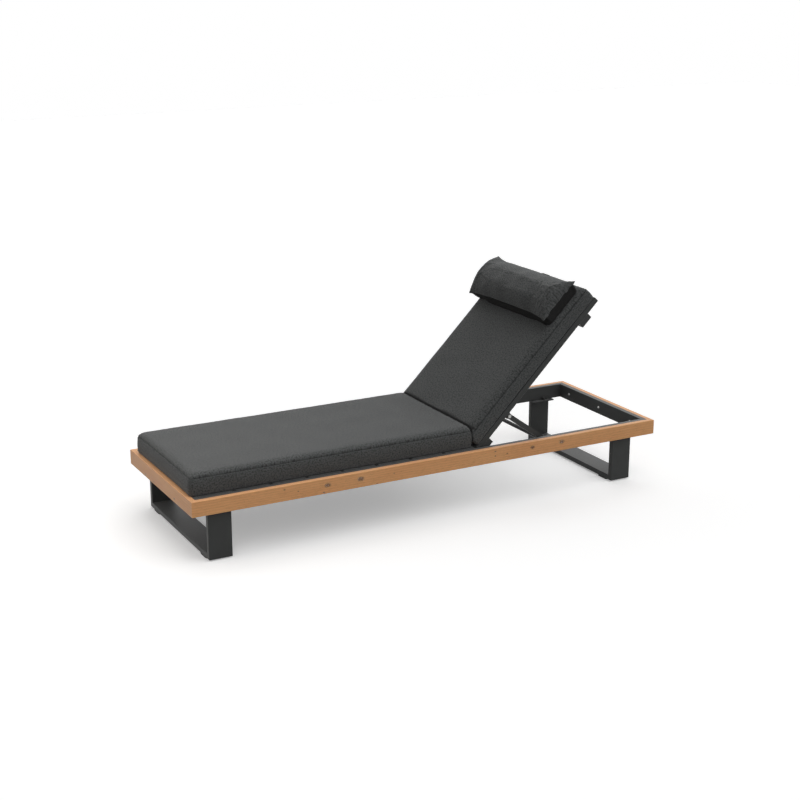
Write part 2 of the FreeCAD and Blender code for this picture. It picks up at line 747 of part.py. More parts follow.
def rack_line():
    """The line of the teeth's tops, just under the path of the cross tube, with its two ends."""
    drop = PROP_TUBE_RADIUS + PROP_GLIDE_GAP
    feet = [foot_place(angle) for angle in reversed(NOTCH_ANGLES)]
    line = [(x, z - drop) for x, z in feet]
    first, last = line[0], line[-1]
    return [(first[0] - RACK_END, first[1])] + line + [(last[0] + RACK_END, last[1])]


def rack_span():
    """The two X places of a rack, a little beyond its outermost notches."""
    line = rack_line()
    return line[0][0], line[-1][0]


def rack_screw_places():
    """The X places of a rack's screws."""
    start, end = rack_span()
    return [start + RACK_END, (start + end) / 2, end - RACK_END]


def rack_screw(side, x, gap):
    """A screw that holds a rack to the rail; with a gap it is its hole."""
    z = FRAME_TOP - PANEL_THICKNESS - SCREW_HEAD_RADIUS - WASHER_GAP
    seat = side * (WELL_HALF_WIDTH - RACK_WEB)
    tip = side * (WELL_HALF_WIDTH + SLAT_SCREW_BITE + gap)
    shank = cylinder(SCREW_RADIUS + gap, seat, tip, x, z)
    if gap:
        return shank
    head_end = seat - side * SCREW_HEAD_HEIGHT
    return shank.fuse(cylinder(SCREW_HEAD_RADIUS, seat, head_end, x, z)).removeSplitter()


def rack(side):
    """A notched rack on the inside of a side rail: an upright web with a notched ledge."""
    start, end = rack_span()
    face = side * WELL_HALF_WIDTH
    web = side * (WELL_HALF_WIDTH - RACK_WEB)
    line = rack_line()
    low = min(z for x, z in line) - RACK_LEDGE_HEIGHT
    upright = box(start, end, face, web, low, FRAME_TOP - RACK_TOP_GAP)
    ledge = prism(line + [(end, low), (start, low)], "xz", web, -side * RACK_LEDGE)
    cuts = []
    for x, z in line[1:-1]:
        centre = z - NOTCH_DEPTH + NOTCH_RADIUS
        cuts.append(cylinder(NOTCH_RADIUS, web, web - side * (RACK_LEDGE + OVERRUN), x, centre))
    cuts += [rack_screw(side, x, HOLE_GAP) for x in rack_screw_places()]
    return upright.fuse(ledge).removeSplitter().cut(cuts)


# Cushions: stacked outlines whose sides draw in between the corners, lofted one to the next

def cushion_ring(x0, x1, half_width, z):
    """A rounded oblong whose four sides bow inwards, as one closed wire at a height."""
    corner = CUSHION_CORNER
    bow = CUSHION_BOW
    bend = corner * (1 - math.sqrt(0.5))
    middle = (x0 + x1) / 2
    y = half_width

    def arc(a, b, c):
        points = [FreeCAD.Vector(px, py, z) for px, py in (a, b, c)]
        return Part.Arc(*points).toShape()

    return Part.Wire([
        arc((x0 + corner, -y), (middle, -y + bow), (x1 - corner, -y)),
        arc((x1 - corner, -y), (x1 - bend, -y + bend), (x1, -y + corner)),
        arc((x1, -y + corner), (x1 - bow, 0), (x1, y - corner)),
        arc((x1, y - corner), (x1 - bend, y - bend), (x1 - corner, y)),
        arc((x1 - corner, y), (middle, y - bow), (x0 + corner, y)),
        arc((x0 + corner, y), (x0 + bend, y - bend), (x0, y - corner)),
        arc((x0, y - corner), (x0 + bow, 0), (x0, -y + corner)),
        arc((x0, -y + corner), (x0 + bend, -y + bend), (x0 + corner, -y)),
    ])


# How a cushion's outline changes as it rises: the share of its height, how much of the
# foot inset and the seam inset apply there, and the share of its half width by which the
# crowned top has drawn in, with the share of the crown that it has risen
SIDE_LEVEL_SHARES = ((0.0, 1.0, 0.0), (0.14, 0.3, 0.0), (0.45, 0.0, 0.0), (0.85, 0.0, 0.2), (1.0, 0.0, 1.0))
CROWN_LEVEL_SHARES = ((0.03, 0.5), (0.10, 0.8), (0.32, 1.0))


def cushion(x0, x1, height, lower_end):
    """A box cushion with a crowned top; lower_end gives its end's setback at a height share."""
    rings = []
    half = PANEL_HALF_WIDTH
    for share, foot_share, seam_share in SIDE_LEVEL_SHARES:
        inset = CUSHION_FOOT_INSET * foot_share + CUSHION_SEAM_INSET * seam_share
        start = x0 + max(inset, lower_end(share))
        rings.append(cushion_ring(start, x1 - inset, half - inset, share * height))
    for draw_share, rise_share in CROWN_LEVEL_SHARES:
        inset = CUSHION_SEAM_INSET + half * draw_share
        start = x0 + lower_end(1) + inset
        z = height + CUSHION_CROWN * rise_share
        rings.append(cushion_ring(start, x1 - inset, half - inset, z))
    return Part.makeLoft(rings, True, True)


def seat_cushion():
    """The long cushion on the seat deck."""
    start = SEAT_CUSHION_START - HALF_LENGTH
    shape = cushion(start, SEAT_CUSHION_END, SEAT_CUSHION_HEIGHT, lambda share: 0)
    shape.translate(FreeCAD.Vector(0, 0, FRAME_TOP))
    return shape


def seat_clearance(share):
    """How far the back cushion's lower end draws back so that it clears the seat cushion upright.

    At the steepest notch the seat cushion's end face stands over the hinge's foot side, and the
    back cushion's lower end keeps behind that face.
    """
    steepest = math.radians(max(NOTCH_ANGLES))
    n = PANEL_HALF_DEPTH + share * BACK_CUSHION_HEIGHT
    behind = CUSHION_GAP - SEAT_CUSHION_SETBACK
    needed = (behind + n * math.sin(steepest)) / math.cos(steepest)
    return min(needed, seat_top_reach(n, steepest)) - BACK_CUSHION_START


def seat_top_reach(n, steepest):
    """How far up the backrest the seat cushion's top edge reaches at the steepest notch."""
    top = SEAT_CUSHION_HEIGHT + PANEL_HALF_DEPTH + CUSHION_GAP
    return (top - n * math.cos(steepest)) / math.sin(steepest)


def back_cushion():
    """The cushion on the backrest, drawn flat."""
    shape = cushion(BACK_CUSHION_START, BACK_CUSHION_END, BACK_CUSHION_HEIGHT, seat_clearance)
    shape.translate(FreeCAD.Vector(0, 0, PANEL_HALF_DEPTH))
    return shape


# Head pillow: oval sections across the backrest, thin at the sewn ends

# The share of the half length, the share of the half thickness and the share of the waist
PILLOW_SECTION_SHARES = (
    (1.0, 0.0, 0.0), (0.98, 0.5, 0.1), (0.93, 0.8, 0.4), (0.8, 0.94, 0.8), (0.5, 1.0, 1.0),
)
PILLOW_SHOULDER_SHARE = 0.8
PILLOW_END_SHARE = 0.6


def pillow_section(y, half_width, half_height, middle_n):
    """An oval of four arcs in the plane across the pillow's length."""
    shoulder = half_height * PILLOW_SHOULDER_SHARE
    end = half_height * PILLOW_END_SHARE
    low, high = PILLOW_CENTRE - half_width, PILLOW_CENTRE + half_width

    def arc(a, b, c):
        points = [FreeCAD.Vector(px, y, middle_n + pz) for px, pz in (a, b, c)]
        return Part.Arc(*points).toShape()

    return Part.Wire([
        arc((low + end, -shoulder), (PILLOW_CENTRE, -half_height), (high - end, -shoulder)),
        arc((high - end, -shoulder), (high, 0), (high - end, shoulder)),
        arc((high - end, shoulder), (PILLOW_CENTRE, half_height), (low + end, shoulder)),
        arc((low + end, shoulder), (low, 0), (low + end, -shoulder)),
    ])


def pillow_middle():
    """The height over the hinge axis of the pillow's middle, clear of the cushion's crown."""
    crown = PANEL_HALF_DEPTH + BACK_CUSHION_HEIGHT + CUSHION_CROWN
    return crown + FACE_GAP + PILLOW_THICKNESS / 2


def head_pillow():
    """The stuffed pillow at the top of the backrest."""
    sections = []
    rows = [(share, thick, waist, -1) for share, thick, waist in PILLOW_SECTION_SHARES]
    rows += [(share, thick, waist, 1) for share, thick, waist in reversed(PILLOW_SECTION_SHARES)]
    for share, thick, waist, side in rows:
        y = side * share * PANEL_HALF_WIDTH
        half_height = PILLOW_SEAM / 2 + thick * (PILLOW_THICKNESS - PILLOW_SEAM) / 2
        half_width = PILLOW_WIDTH / 2 - waist * PILLOW_WAIST
        sections.append(pillow_section(y, half_width, half_height, pillow_middle()))
    return Part.makeLoft(sections, True, True)


def pillow_strap():
    """The band from the pillow over the backrest's top end and under its top tube."""
    pillow_edge = PILLOW_CENTRE + PILLOW_WIDTH / 2 - PILLOW_WAIST + FACE_GAP
    inner = BACKREST_LENGTH + FACE_GAP
    outer = inner + STRAP_THICKNESS
    top = pillow_middle()
    shoulder = PANEL_HALF_DEPTH + BACK_CUSHION_HEIGHT
    low = -PANEL_HALF_DEPTH - FACE_GAP
    tail = BACKREST_LENGTH - STRAP_TAIL
    outline = [
        (pillow_edge, top), (inner, shoulder), (inner, low), (tail, low),
        (tail, low - STRAP_THICKNESS), (outer, low - STRAP_THICKNESS), (outer, shoulder),
        (pillow_edge + STRAP_THICKNESS, top + STRAP_THICKNESS),
    ]
    return prism(outline, "xz", -STRAP_WIDTH / 2, STRAP_WIDTH)


def main():
    """Write every piece."""
    os.makedirs("parts", exist_ok=True)
    for place in ("near", "far", "foot", "head"):
        save("wood_rail_" + place, wood_rail(place))
        save("frame_rail_" + place, frame_rail(place))
    screws = [
        frame_screw(place, along, on_ledge, 0)
        for place in ("near", "far", "foot", "head")
        for along, on_ledge in screw_places(place)
    ]
    save("frame_screws", group(screws))

    for leg in LEGS:
        save("leg_bar_" + leg, leg_bar(leg))
        for name, side in SIDES:
            save("leg_upright_" + leg + "_" + name, leg_upright(leg, side))
            save("leg_plate_" + leg + "_" + name, leg_plate(leg, side))
    save("leg_bolts", group([leg_bolt(leg, side, 0) for leg in LEGS for name, side in SIDES]))
    save("foot_glides", foot_glides())
    save("rest_buffers", rest_buffers())

    for index in range(SLAT_COUNT):
        save("deck_slat_" + str(index + 1), deck_slat(index))
    slat_screws = [slat_screw(index, side, 0) for index in range(SLAT_COUNT) for name, side in SIDES]
    save("slat_screws", group(slat_screws))
    for name, side in SIDES:
        save("deck_ledge_" + name, deck_ledge(name, side))
        save("rack_" + name, rack(side))
    rack_screws = [rack_screw(side, x, 0) for name, side in SIDES for x in rack_screw_places()]
    save("rack_screws", group(rack_screws))
    save("hinge_bolts", group([hinge_bolt(side, 0, 0) for name, side in SIDES]))

    for name, side in SIDES:
        save("backrest_side_" + name, raised(panel_side(side)))
    save("backrest_top", raised(panel_top()))
    save("hinge_tube", raised(hinge_tube()))
    save("hinge_bushes", raised(group([hinge_bush(side) for name, side in SIDES])))
    for index in range(BACK_SLAT_COUNT):
        save("back_slat_" + str(index + 1), raised(back_slat(index)))
    save("cross_bar_lower", raised(cross_bar(LOWER_BAR_START)))
    save("cross_bar_upper", raised(cross_bar(UPPER_BAR_START)))
    save("strut_ears", raised(strut_ears()))
    save("strut_bolts", raised(strut_bolts()))
    for name, side in SIDES:
        save("strut_arm_" + name, propped(strut_arm(side)))
    save("prop_tube", propped(prop_tube()))
    save("prop_caps", propped(prop_caps()))

    save("seat_cushion", seat_cushion())
    save("back_cushion", raised(back_cushion()))
    save("head_pillow", raised(head_pillow()))
    save("pillow_strap", raised(pillow_strap()))

    pivot = [round(value, 3) for value in pivot_place(BACKREST_ANGLE)]
    print("hinge", HINGE_X, HINGE_Z, "strut pivot", pivot, "strut ratio", round(strut_ratio(), 5))


main()
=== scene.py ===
import json
import math

import bpy
import numpy as np
from bpy.props import FloatProperty, FloatVectorProperty, PointerProperty
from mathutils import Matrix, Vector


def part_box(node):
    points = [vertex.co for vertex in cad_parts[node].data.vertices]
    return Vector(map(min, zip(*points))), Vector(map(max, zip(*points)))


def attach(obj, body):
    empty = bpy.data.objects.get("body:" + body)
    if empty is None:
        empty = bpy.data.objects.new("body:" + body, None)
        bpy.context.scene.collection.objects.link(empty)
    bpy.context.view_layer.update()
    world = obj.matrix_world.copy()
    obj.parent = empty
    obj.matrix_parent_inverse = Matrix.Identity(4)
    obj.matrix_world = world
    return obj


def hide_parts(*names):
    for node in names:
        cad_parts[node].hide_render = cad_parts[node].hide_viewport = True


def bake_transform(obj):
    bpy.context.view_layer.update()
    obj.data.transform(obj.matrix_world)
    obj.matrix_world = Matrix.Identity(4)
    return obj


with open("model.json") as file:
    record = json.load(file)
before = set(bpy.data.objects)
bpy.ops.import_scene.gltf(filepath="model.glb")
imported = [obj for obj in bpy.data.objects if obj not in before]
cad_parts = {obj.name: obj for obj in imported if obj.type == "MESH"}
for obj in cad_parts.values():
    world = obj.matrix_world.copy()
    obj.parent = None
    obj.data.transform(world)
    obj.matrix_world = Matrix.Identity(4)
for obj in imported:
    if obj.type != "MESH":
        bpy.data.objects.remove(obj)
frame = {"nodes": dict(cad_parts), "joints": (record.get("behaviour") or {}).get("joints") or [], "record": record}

bl_info = {
    "name": "Relaxation lounger",
    "version": (1, 0, 0),
    "blender": (4, 5, 0),
    "location": "3D View > Sidebar > Lounger",
    "description": "Cushions, timber, coated metal and fittings round a lounger's packed frame",
    "category": "Object",
}

# Places and sizes that the frame gives, in metres and radians

HINGE_JOINT = next(joint for joint in frame["joints"] if joint["name"] == "backrest_hinge")
HINGE = np.array(HINGE_JOINT["pos_m"], float)
BACKREST_SLOPE = math.radians(-min(HINGE_JOINT["range_deg"]))
SEAT_LOW, SEAT_HIGH = (np.array(corner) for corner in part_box("seat_cushion"))
RAIL_LOW = np.array(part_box("wood_rail_near")[0])
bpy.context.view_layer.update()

SLOPE_WAY = np.array([math.cos(BACKREST_SLOPE), 0.0, math.sin(BACKREST_SLOPE)])
SLOPE_OUT = np.array([-math.sin(BACKREST_SLOPE), 0.0, math.cos(BACKREST_SLOPE)])
ACROSS = np.array([0.0, 1.0, 0.0])


# Settings that a user would change

class LoungerCushionSettings(bpy.types.PropertyGroup):
    """Sizes of the cushions and the pillow."""

    seat_height: FloatProperty(
        name="Seat seam height", description="Height of the seat cushion's top seam over the deck",
        default=0.068, unit="LENGTH")
    back_height: FloatProperty(
        name="Back seam height", description="Height of the back cushion's top seam over the backrest",
        default=0.0535, unit="LENGTH")
    back_crown: FloatProperty(
        name="Back crown", description="How far the back cushion's face swells past its seam",
        default=0.0248, min=0.0, unit="LENGTH")
    crown: FloatProperty(
        name="Crown", description="How far a cushion's top rises over its seam",
        default=0.018, unit="LENGTH")
    shoulder: FloatProperty(
        name="Shoulder", description="How far in from the seam a cushion's top takes to round over",
        default=0.0075, unit="LENGTH")
    corner: FloatProperty(
        name="Corner radius", description="Radius of a cushion's upright corners",
        default=0.014, unit="LENGTH")
    bulge: FloatProperty(
        name="Side bulge", description="How far a cushion's sides swell between their seams",
        default=0.0035, unit="LENGTH")
    draw_in: FloatProperty(
        name="Drawn-in sides", description="How far the sides pull in between the corners",
        default=0.003, unit="LENGTH")
    seam_depth: FloatProperty(
        name="Seam depth", description="Depth of the groove that a sewn seam pulls in",
        default=0.0022, unit="LENGTH")
    seam_width: FloatProperty(
        name="Seam width", description="Half width of the groove at a sewn seam",
        default=0.0022, unit="LENGTH")
    pillow_width: FloatProperty(
        name="Pillow width", description="The head pillow's size along the backrest",
        default=0.204, unit="LENGTH")
    pillow_thickness: FloatProperty(
        name="Pillow thickness", description="The head pillow's full thickness",
        default=0.097, unit="LENGTH")
    pillow_setback: FloatProperty(
        name="Pillow place", description="Place of the pillow's middle along the backrest from the hinge",
        default=0.642, unit="LENGTH")
    thread: FloatProperty(
        name="Thread pitch", description="Spacing of the threads in the cushions' cloth",
        default=0.0016, unit="LENGTH")


class LoungerFinishSettings(bpy.types.PropertyGroup):
    """Colours of the lounger's materials, in linear light."""

    cloth: FloatVectorProperty(
        name="Cushion cloth", description="Mean colour of the cushions' woven cloth",
        default=(0.073, 0.077, 0.077), subtype="COLOR")
    cloth_fleck: FloatVectorProperty(
        name="Cloth fleck", description="Colour of the paler yarns in the cloth",
        default=(0.114, 0.119, 0.118), subtype="COLOR")
    # Painted shade: this colour darkens the cloth between the threads, at the seam grooves and in the crease
    painted_shade_colour: FloatVectorProperty(
        name="Painted seam shade", description="Colour of the sewing thread and the shaded seam",
        default=(0.006, 0.006, 0.006), subtype="COLOR")
    timber: FloatVectorProperty(
        name="Timber", description="Mean colour of the oiled timber",
        default=(0.940, 0.478, 0.220), subtype="COLOR")
    timber_dark: FloatVectorProperty(
        name="Timber grain", description="Colour of the darker late wood",
        default=(0.690, 0.316, 0.132), subtype="COLOR")
    knot: FloatVectorProperty(
        name="Knot", description="Colour of the knots in the timber",
        default=(0.150, 0.085, 0.055), subtype="COLOR")
    coating: FloatVectorProperty(
        name="Powder coat", description="Colour of the frame's powder coat",
        default=(0.056, 0.058, 0.057), subtype="COLOR")


class LoungerStageSettings(bpy.types.PropertyGroup):
    """The camera's place, the light and the floor."""

    camera_place: FloatVectorProperty(
        name="Camera place", description="Where the camera stands",
        default=(-2.685, -4.967, 2.0944), subtype="TRANSLATION", unit="LENGTH")
    camera_pitch: FloatProperty(
        name="Camera pitch", description="How far the camera looks down from level",
        default=math.radians(16.857), subtype="ANGLE")
    camera_yaw: FloatProperty(
        name="Camera yaw", description="How far the camera turns from straight across the bed",
        default=math.radians(28.396), subtype="ANGLE")
    lens: FloatProperty(
        name="Focal length", description="Focal length in millimetres on a 36 mm wide sensor",
        default=67.55, min=1.0)
    key_power: FloatProperty(
        name="Key light", description="Strength of the soft light over the head", default=1.42)
    key_spread: FloatProperty(
        name="Light spread", description="How wide each soft light looks from the lounger",
        default=math.radians(90), subtype="ANGLE")
    far_power: FloatProperty(
        name="Far fill", description="Strength of the light from the far side", default=0.85)
    near_power: FloatProperty(
        name="Near fill", description="Strength of the light from the near side", default=1.05)
    foot_power: FloatProperty(
        name="Foot lamp", description="Power of the lamp off the foot end", default=3.0)
    spot_power: FloatProperty(
        name="Foot spot", description="Power of the spot over the foot end", default=22.0)
    sky: FloatProperty(
        name="Sky light", description="Strength of the light from all round", default=0.02)
    floor_shade: FloatProperty(
        name="Floor shade", description="Paleness of the floor for the camera", default=0.97)
    floor_bounce: FloatProperty(
        name="Floor bounce", description="Paleness of the floor for the light it throws back", default=0.22)
    floor_lift: FloatProperty(
        name="Floor lift", description="How far the floor's shadow is lifted towards white for the camera",
        default=0.29)


# Mesh building

def lattice_shell(nx, ny, nz):
    """Grid lines on the six sides of a block.

    Returns the whole-number places of the surface points, the quads facing outwards, and for
    each quad the axis that its side faces along.
    """
    i, j, k = np.meshgrid(np.arange(nx + 1), np.arange(ny + 1), np.arange(nz + 1), indexing="ij")
    skin = (i % nx == 0) | (j % ny == 0) | (k % nz == 0)
    number = np.full(skin.shape, -1)
    number[skin] = np.arange(skin.sum())
    places = np.stack([i[skin], j[skin], k[skin]], 1)
    sides = (
        (number[0], 0, True), (number[-1], 0, False),
        (number[:, 0], 1, False), (number[:, -1], 1, True),
        (number[:, :, 0], 2, True), (number[:, :, -1], 2, False),
    )
    quads, axes = [], []
    for grid, axis, turned in sides:
        ring = [grid[:-1, :-1], grid[1:, :-1], grid[1:, 1:], grid[:-1, 1:]]
        block = np.stack([part.ravel() for part in (ring[::-1] if turned else ring)], 1)
        quads.append(block)
        axes.append(np.full(len(block), axis))
    return places, np.concatenate(quads), np.concatenate(axes)


def stations(total, step, fine, rows):
    """Places from 0 to total: rows of fine spacing at both ends and even steps of about step between."""
    border = fine * np.arange(rows + 1)
    inner = total - 2 * border[-1]
    middle = np.linspace(border[-1], total - border[-1], max(1, round(inner / step)) + 1)
    return np.concatenate([border[:-1], middle, total - border[-2::-1]])


def make_piece(name, points, quads, material, uv=None):
    """A smooth mesh object from whole arrays of points and quads, with an optional UV per corner."""
    mesh = bpy.data.meshes.new(name)
    mesh.from_pydata(points.tolist(), [], quads.tolist())
    mesh.polygons.foreach_set("use_smooth", np.ones(len(mesh.polygons), bool))
    if uv is not None:
        layer = mesh.uv_layers.new(name="cloth")
        layer.data.foreach_set("uv", uv[quads].reshape(-1) if uv.ndim == 2 else uv.reshape(-1))
    mesh.materials.append(material)
    mesh.update()
    piece = bpy.data.objects.new(name, mesh)
    bpy.context.scene.collection.objects.link(piece)
    return piece


def side_uv(local, quads, axes):
    """The cloth's lie on each side of a cushion, in metres: the two axes that the side spans."""
    spans = np.array([[1, 2], [0, 2], [0, 1]])[axes]
    corners = local[quads]
    first = np.take_along_axis(corners, spans[:, None, :1].repeat(4, 1), 2)
    second = np.take_along_axis(corners, spans[:, None, 1:].repeat(4, 1), 2)
    return np.concatenate([first, second], 2)


def on_backrest(points):
    """Points given as (along the backrest, across, out of it) carried to where it stands at rest."""
    along, across, out = points[:, :1], points[:, 1:2], points[:, 2:]
    return HINGE + along * SLOPE_WAY + across * ACROSS + out * SLOPE_OUT


def ripples(x, y, seed, waves, short, long):
    """A gentle uneven surface between about -1 and 1: a sum of sine waves of random direction,
    length between short and long, and phase. The sizes named ...WAVES hold the last three values."""
    draw = np.random.default_rng(seed)
    turn = draw.uniform(0, math.pi, waves)
    rate = 2 * math.pi / draw.uniform(short, long, waves)
    phase = draw.uniform(0, 2 * math.pi, waves)
    along = np.multiply.outer(x, rate * np.cos(turn)) + np.multiply.outer(y, rate * np.sin(turn))
    return np.sin(along + phase).sum(-1) / math.sqrt(waves)


# Cushions

CUSHION_STEP = 0.008
SEAM_STEP = 0.0011
SEAM_ROWS = 6
# Painted shade at the seams and in the crease: the widths of its bells and the seams' share of it
SEAM_SHADE = 0.0013
SEAM_DARK = 0.72
CREASE_SHADE = 0.0022
PINCH = 3.0
FOOT_RISE = 0.0015
CREST_REACH = 0.045
CREST_SHARE = 0.14
PUCKER = 0.0006
PUCKER_REACH = 0.014
PUCKER_WAVES = (12, 0.012, 0.035)
LUMP = 0.0009
LUMP_WAVES = (9, 0.09, 0.30)

# A share or a length too small to see
HAIR = 1e-7


def box_cushion(length, half, height, crown, seed, start_pinch=1.0, end_pinch=1.0):
    """A box cushion's points, from 0 to length, -half to half and 0 up, its quads and cloth lie.

    In plan it is an oblong whose corner squares are drawn into quarter discs and whose sides pull
    in by a parabola between the corners. A side swells by a parabola between its two seams. The
    top rises from the seam by two saturating exponentials of the distance to the ends and to the
    sides, multiplied: a short one for the rounded shoulder and a long one for the crown. A pinch
    over 1 at an end makes its shoulder that many times sharper, and its corners by the root of that,
    as where another cushion presses. The seams are grooves with a bell-shaped section, along which
    the cloth puckers in small waves. The last result is each point's distance from a seam.
    """
    settings = bpy.context.scene.lounger_cushions
    lines = (
        stations(length, CUSHION_STEP, SEAM_STEP, SEAM_ROWS),
        stations(2 * half, CUSHION_STEP, SEAM_STEP, SEAM_ROWS),
        stations(height, CUSHION_STEP / 2, SEAM_STEP, SEAM_ROWS),
    )
    places, quads, axes = lattice_shell(*(len(line) - 1 for line in lines))
    x, y, z = (line[places[:, axis]] for axis, line in enumerate(lines))
    y = y - half
    local = np.stack([x, y, z], 1)
    share = z / height
    end = np.minimum(x, length - x)
    side = half - np.abs(y)

    corner = settings.corner / np.sqrt(np.where(x < length / 2, start_pinch, end_pinch))
    inner_x = np.clip(x, corner, length - corner)
    inner_y = np.clip(y, corner - half, half - corner)
    out_x, out_y = x - inner_x, y - inner_y
    reach = np.maximum(np.abs(out_x), np.abs(out_y))
    size = np.maximum(np.hypot(out_x, out_y), 1e-9)
    way_x, way_y = out_x / size, out_y / size
    on_gusset = (end < HAIR) | (side < HAIR)
    on_top = share > 1 - HAIR
    on_foot = share < HAIR

    lumps = LUMP * ripples(x + z, y + z, seed, *LUMP_WAVES)
    pucker = PUCKER * ripples(x + y, x - y, seed + 1, *PUCKER_WAVES)
    swell = np.where(on_gusset, 4 * share * (1 - share), 0) * (settings.bulge + lumps)
    plan_x = inner_x + way_x * (reach + swell)
    plan_y = inner_y + way_y * (reach + swell)
    plan_x += settings.draw_in * (2 * x / length - 1) * ((y / half) ** 2 - 1)
    plan_y += settings.draw_in * (y / half) * ((2 * x / length - 1) ** 2 - 1)

    pinched = np.minimum(x * start_pinch, (length - x) * end_pinch)

    def rise(way):
        """A saturating rise from 0 at the ends and sides to 1, over the way given."""
        return (1 - np.exp(-pinched / way)) * (1 - np.exp(-side / way))

    crest = crown * ((1 - CREST_SHARE) * rise(settings.shoulder) + CREST_SHARE * rise(CREST_REACH))
    top = height + crest + lumps * rise(CREST_REACH)
    foot = FOOT_RISE * (1 - rise(settings.shoulder))
    height_now = np.where(on_top, top, foot + z * (1 - FOOT_RISE / height))

    to_top = np.hypot(np.minimum(end, side) * on_top, height - z)
    to_foot = np.hypot(np.minimum(end, side) * on_foot, z)
    nearest = np.minimum(to_top, to_foot)
    groove = settings.seam_depth * np.exp(-((nearest / settings.seam_width) ** 2))
    groove = groove - pucker * np.exp(-nearest / PUCKER_REACH)
    plan_x -= way_x * groove
    plan_y -= way_y * groove
    height_now = height_now - np.where(to_top < to_foot, groove, 0)
    return np.stack([plan_x, plan_y, height_now], 1), quads, side_uv(local, quads, axes), nearest


def mark_painted_shade(piece, seam, crease):
    """Keep the painted shade of the seam grooves and of the crease between the cushions at each point,
    from 1 to 0, for the material: the greater of two bells over the distances to them."""
    at_seam = SEAM_DARK * np.exp(-((seam / SEAM_SHADE) ** 2))
    at_crease = np.exp(-((crease / CREASE_SHADE) ** 2))
    # The seam attribute holds the painted shade
    layer = piece.data.attributes.new("seam", "FLOAT", "POINT")
    layer.data.foreach_set("value", np.maximum(at_seam, at_crease).astype(np.float32))


# Seat cushion

# Painted shade on the seat cushion's end face in the crease: how fast it fades away from the end and down from the
# top seam
SEAT_END_NEAR = 0.5
SEAT_END_DEEP = 0.05


class LOUNGER_OT_seat_cushion(bpy.types.Operator):
    """Make the long box cushion that lies on the seat deck."""

    bl_idname = "lounger.seat_cushion"
    bl_label = "Seat cushion"

    def execute(self, context):
        settings = context.scene.lounger_cushions
        length = SEAT_HIGH[0] - SEAT_LOW[0]
        half = (SEAT_HIGH[1] - SEAT_LOW[1]) / 2
        points, quads, uv, seam = box_cushion(
            length, half, settings.seat_height, settings.crown, 11, end_pinch=PINCH)
        # Painted shade: the end face is darker near the crease and near the top
        depth = np.maximum(0, settings.seat_height - points[:, 2])
        crease = SEAT_END_NEAR * (length - points[:, 0]) + SEAT_END_DEEP * depth
        points = points + [SEAT_LOW[0], 0, SEAT_LOW[2]]
        piece = make_piece("seat_cushion_cover", points, quads, cloth_material(context, "seat cloth"), uv)
        mark_painted_shade(piece, seam, crease)
        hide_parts("seat_cushion")
        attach(piece, "base")
        return {"FINISHED"}


# Back cushion

BACK_START = 0.013
BACK_END = 0.757
PANEL_FRONT = 0.011
CREASE_GAP = 0.0025
CREASE_SOFTNESS = 0.003
# CREASE_RISE and CREASE_REACH: where the crease's painted shade starts, and how far the bottom seam's painted
# shade is left out near the crease
CREASE_RISE = 0.0015
CREASE_REACH = 0.030
# How the crease's painted shade spreads over the seat cushion's edge and the cushion's sides
CREASE_EDGE = 0.9
CREASE_RATE = 1.2
CREASE_SIDE = 0.004
CREASE_SIDE_MOST = 0.02
CREASE_SIDE_RATE = 0.6
BEND_WAY = np.array([0.958, 0.0, -0.287])
BEND_BEFORE = 0.034
BEND_AFTER = 0.046


class LOUNGER_OT_back_cushion(bpy.types.Operator):
    """Make the box cushion on the backrest, its lower end pressed flat by the seat cushion."""

    bl_idname = "lounger.back_cushion"
    bl_label = "Back cushion"

    def execute(self, context):
        settings = context.scene.lounger_cushions
        half = (SEAT_HIGH[1] - SEAT_LOW[1]) / 2
        points, quads, uv, seam = box_cushion(
            BACK_END - BACK_START, half, settings.back_height, settings.back_crown, 23, start_pinch=PINCH)
        # The bottom seam's painted shade is left out near the crease, where that seam is out of sight
        seam = seam + 3 * SEAM_SHADE * (points[:, 0] < CREASE_REACH)
        points = on_backrest(points + [BACK_START, 0, PANEL_FRONT])
        points = self.press(points)
        crease = self.crease(points, half, settings)
        piece = make_piece("back_cushion_cover", points, quads, cloth_material(context, "back cloth"), uv)
        mark_painted_shade(piece, seam, crease)
        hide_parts("back_cushion")
        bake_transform(piece)
        return {"FINISHED"}

    def bend_line(self, settings):
        """A short line that leans down past the crease's upper edge, from a little before the pressed corner
        there to a little after it, along a set way."""
        out = PANEL_FRONT + settings.back_height + settings.back_crown
        wall = SEAT_HIGH[0] + CREASE_GAP - HINGE[0]
        along = (wall + out * math.sin(BACKREST_SLOPE)) / math.cos(BACKREST_SLOPE)
        corner = on_backrest(np.array([[along, 0.0, out]]))[0]
        return corner - BEND_BEFORE * BEND_WAY, corner + BEND_AFTER * BEND_WAY

    def crease(self, points, half, settings):
        """How far a point lies from the crease, for the crease's painted shade: its height over the seat
        cushion's last edge, and on the cushion's sides also a share of its distance past the wall."""
        side = half - np.abs(points[:, 1])
        crown = settings.crown * (1 - np.exp(-np.maximum(side, 0) / settings.shoulder))
        edge = settings.seat_height + CREASE_EDGE * crown
        over = np.maximum(0, points[:, 2] - SEAT_LOW[2] - edge - CREASE_RISE)
        wall = np.maximum(0, points[:, 0] - SEAT_HIGH[0] - CREASE_GAP)
        on_side = CREASE_SIDE_MOST * (side < CREASE_SIDE)
        return CREASE_RATE * over + np.minimum(on_side, CREASE_SIDE_RATE * wall)

    def press(self, points):
        """Push points that pass the seat cushion's end up the backrest, by a rounded maximum."""
        wall = SEAT_HIGH[0] + CREASE_GAP
        past = wall - points[:, 0]
        push = CREASE_SOFTNESS * np.logaddexp(0, past / CREASE_SOFTNESS)
        push = push - CREASE_SOFTNESS * math.log(2) * np.exp(-np.abs(past) / CREASE_SOFTNESS)
        return points + (np.maximum(push, 0) / math.cos(BACKREST_SLOPE))[:, None] * SLOPE_WAY


# Head pillow

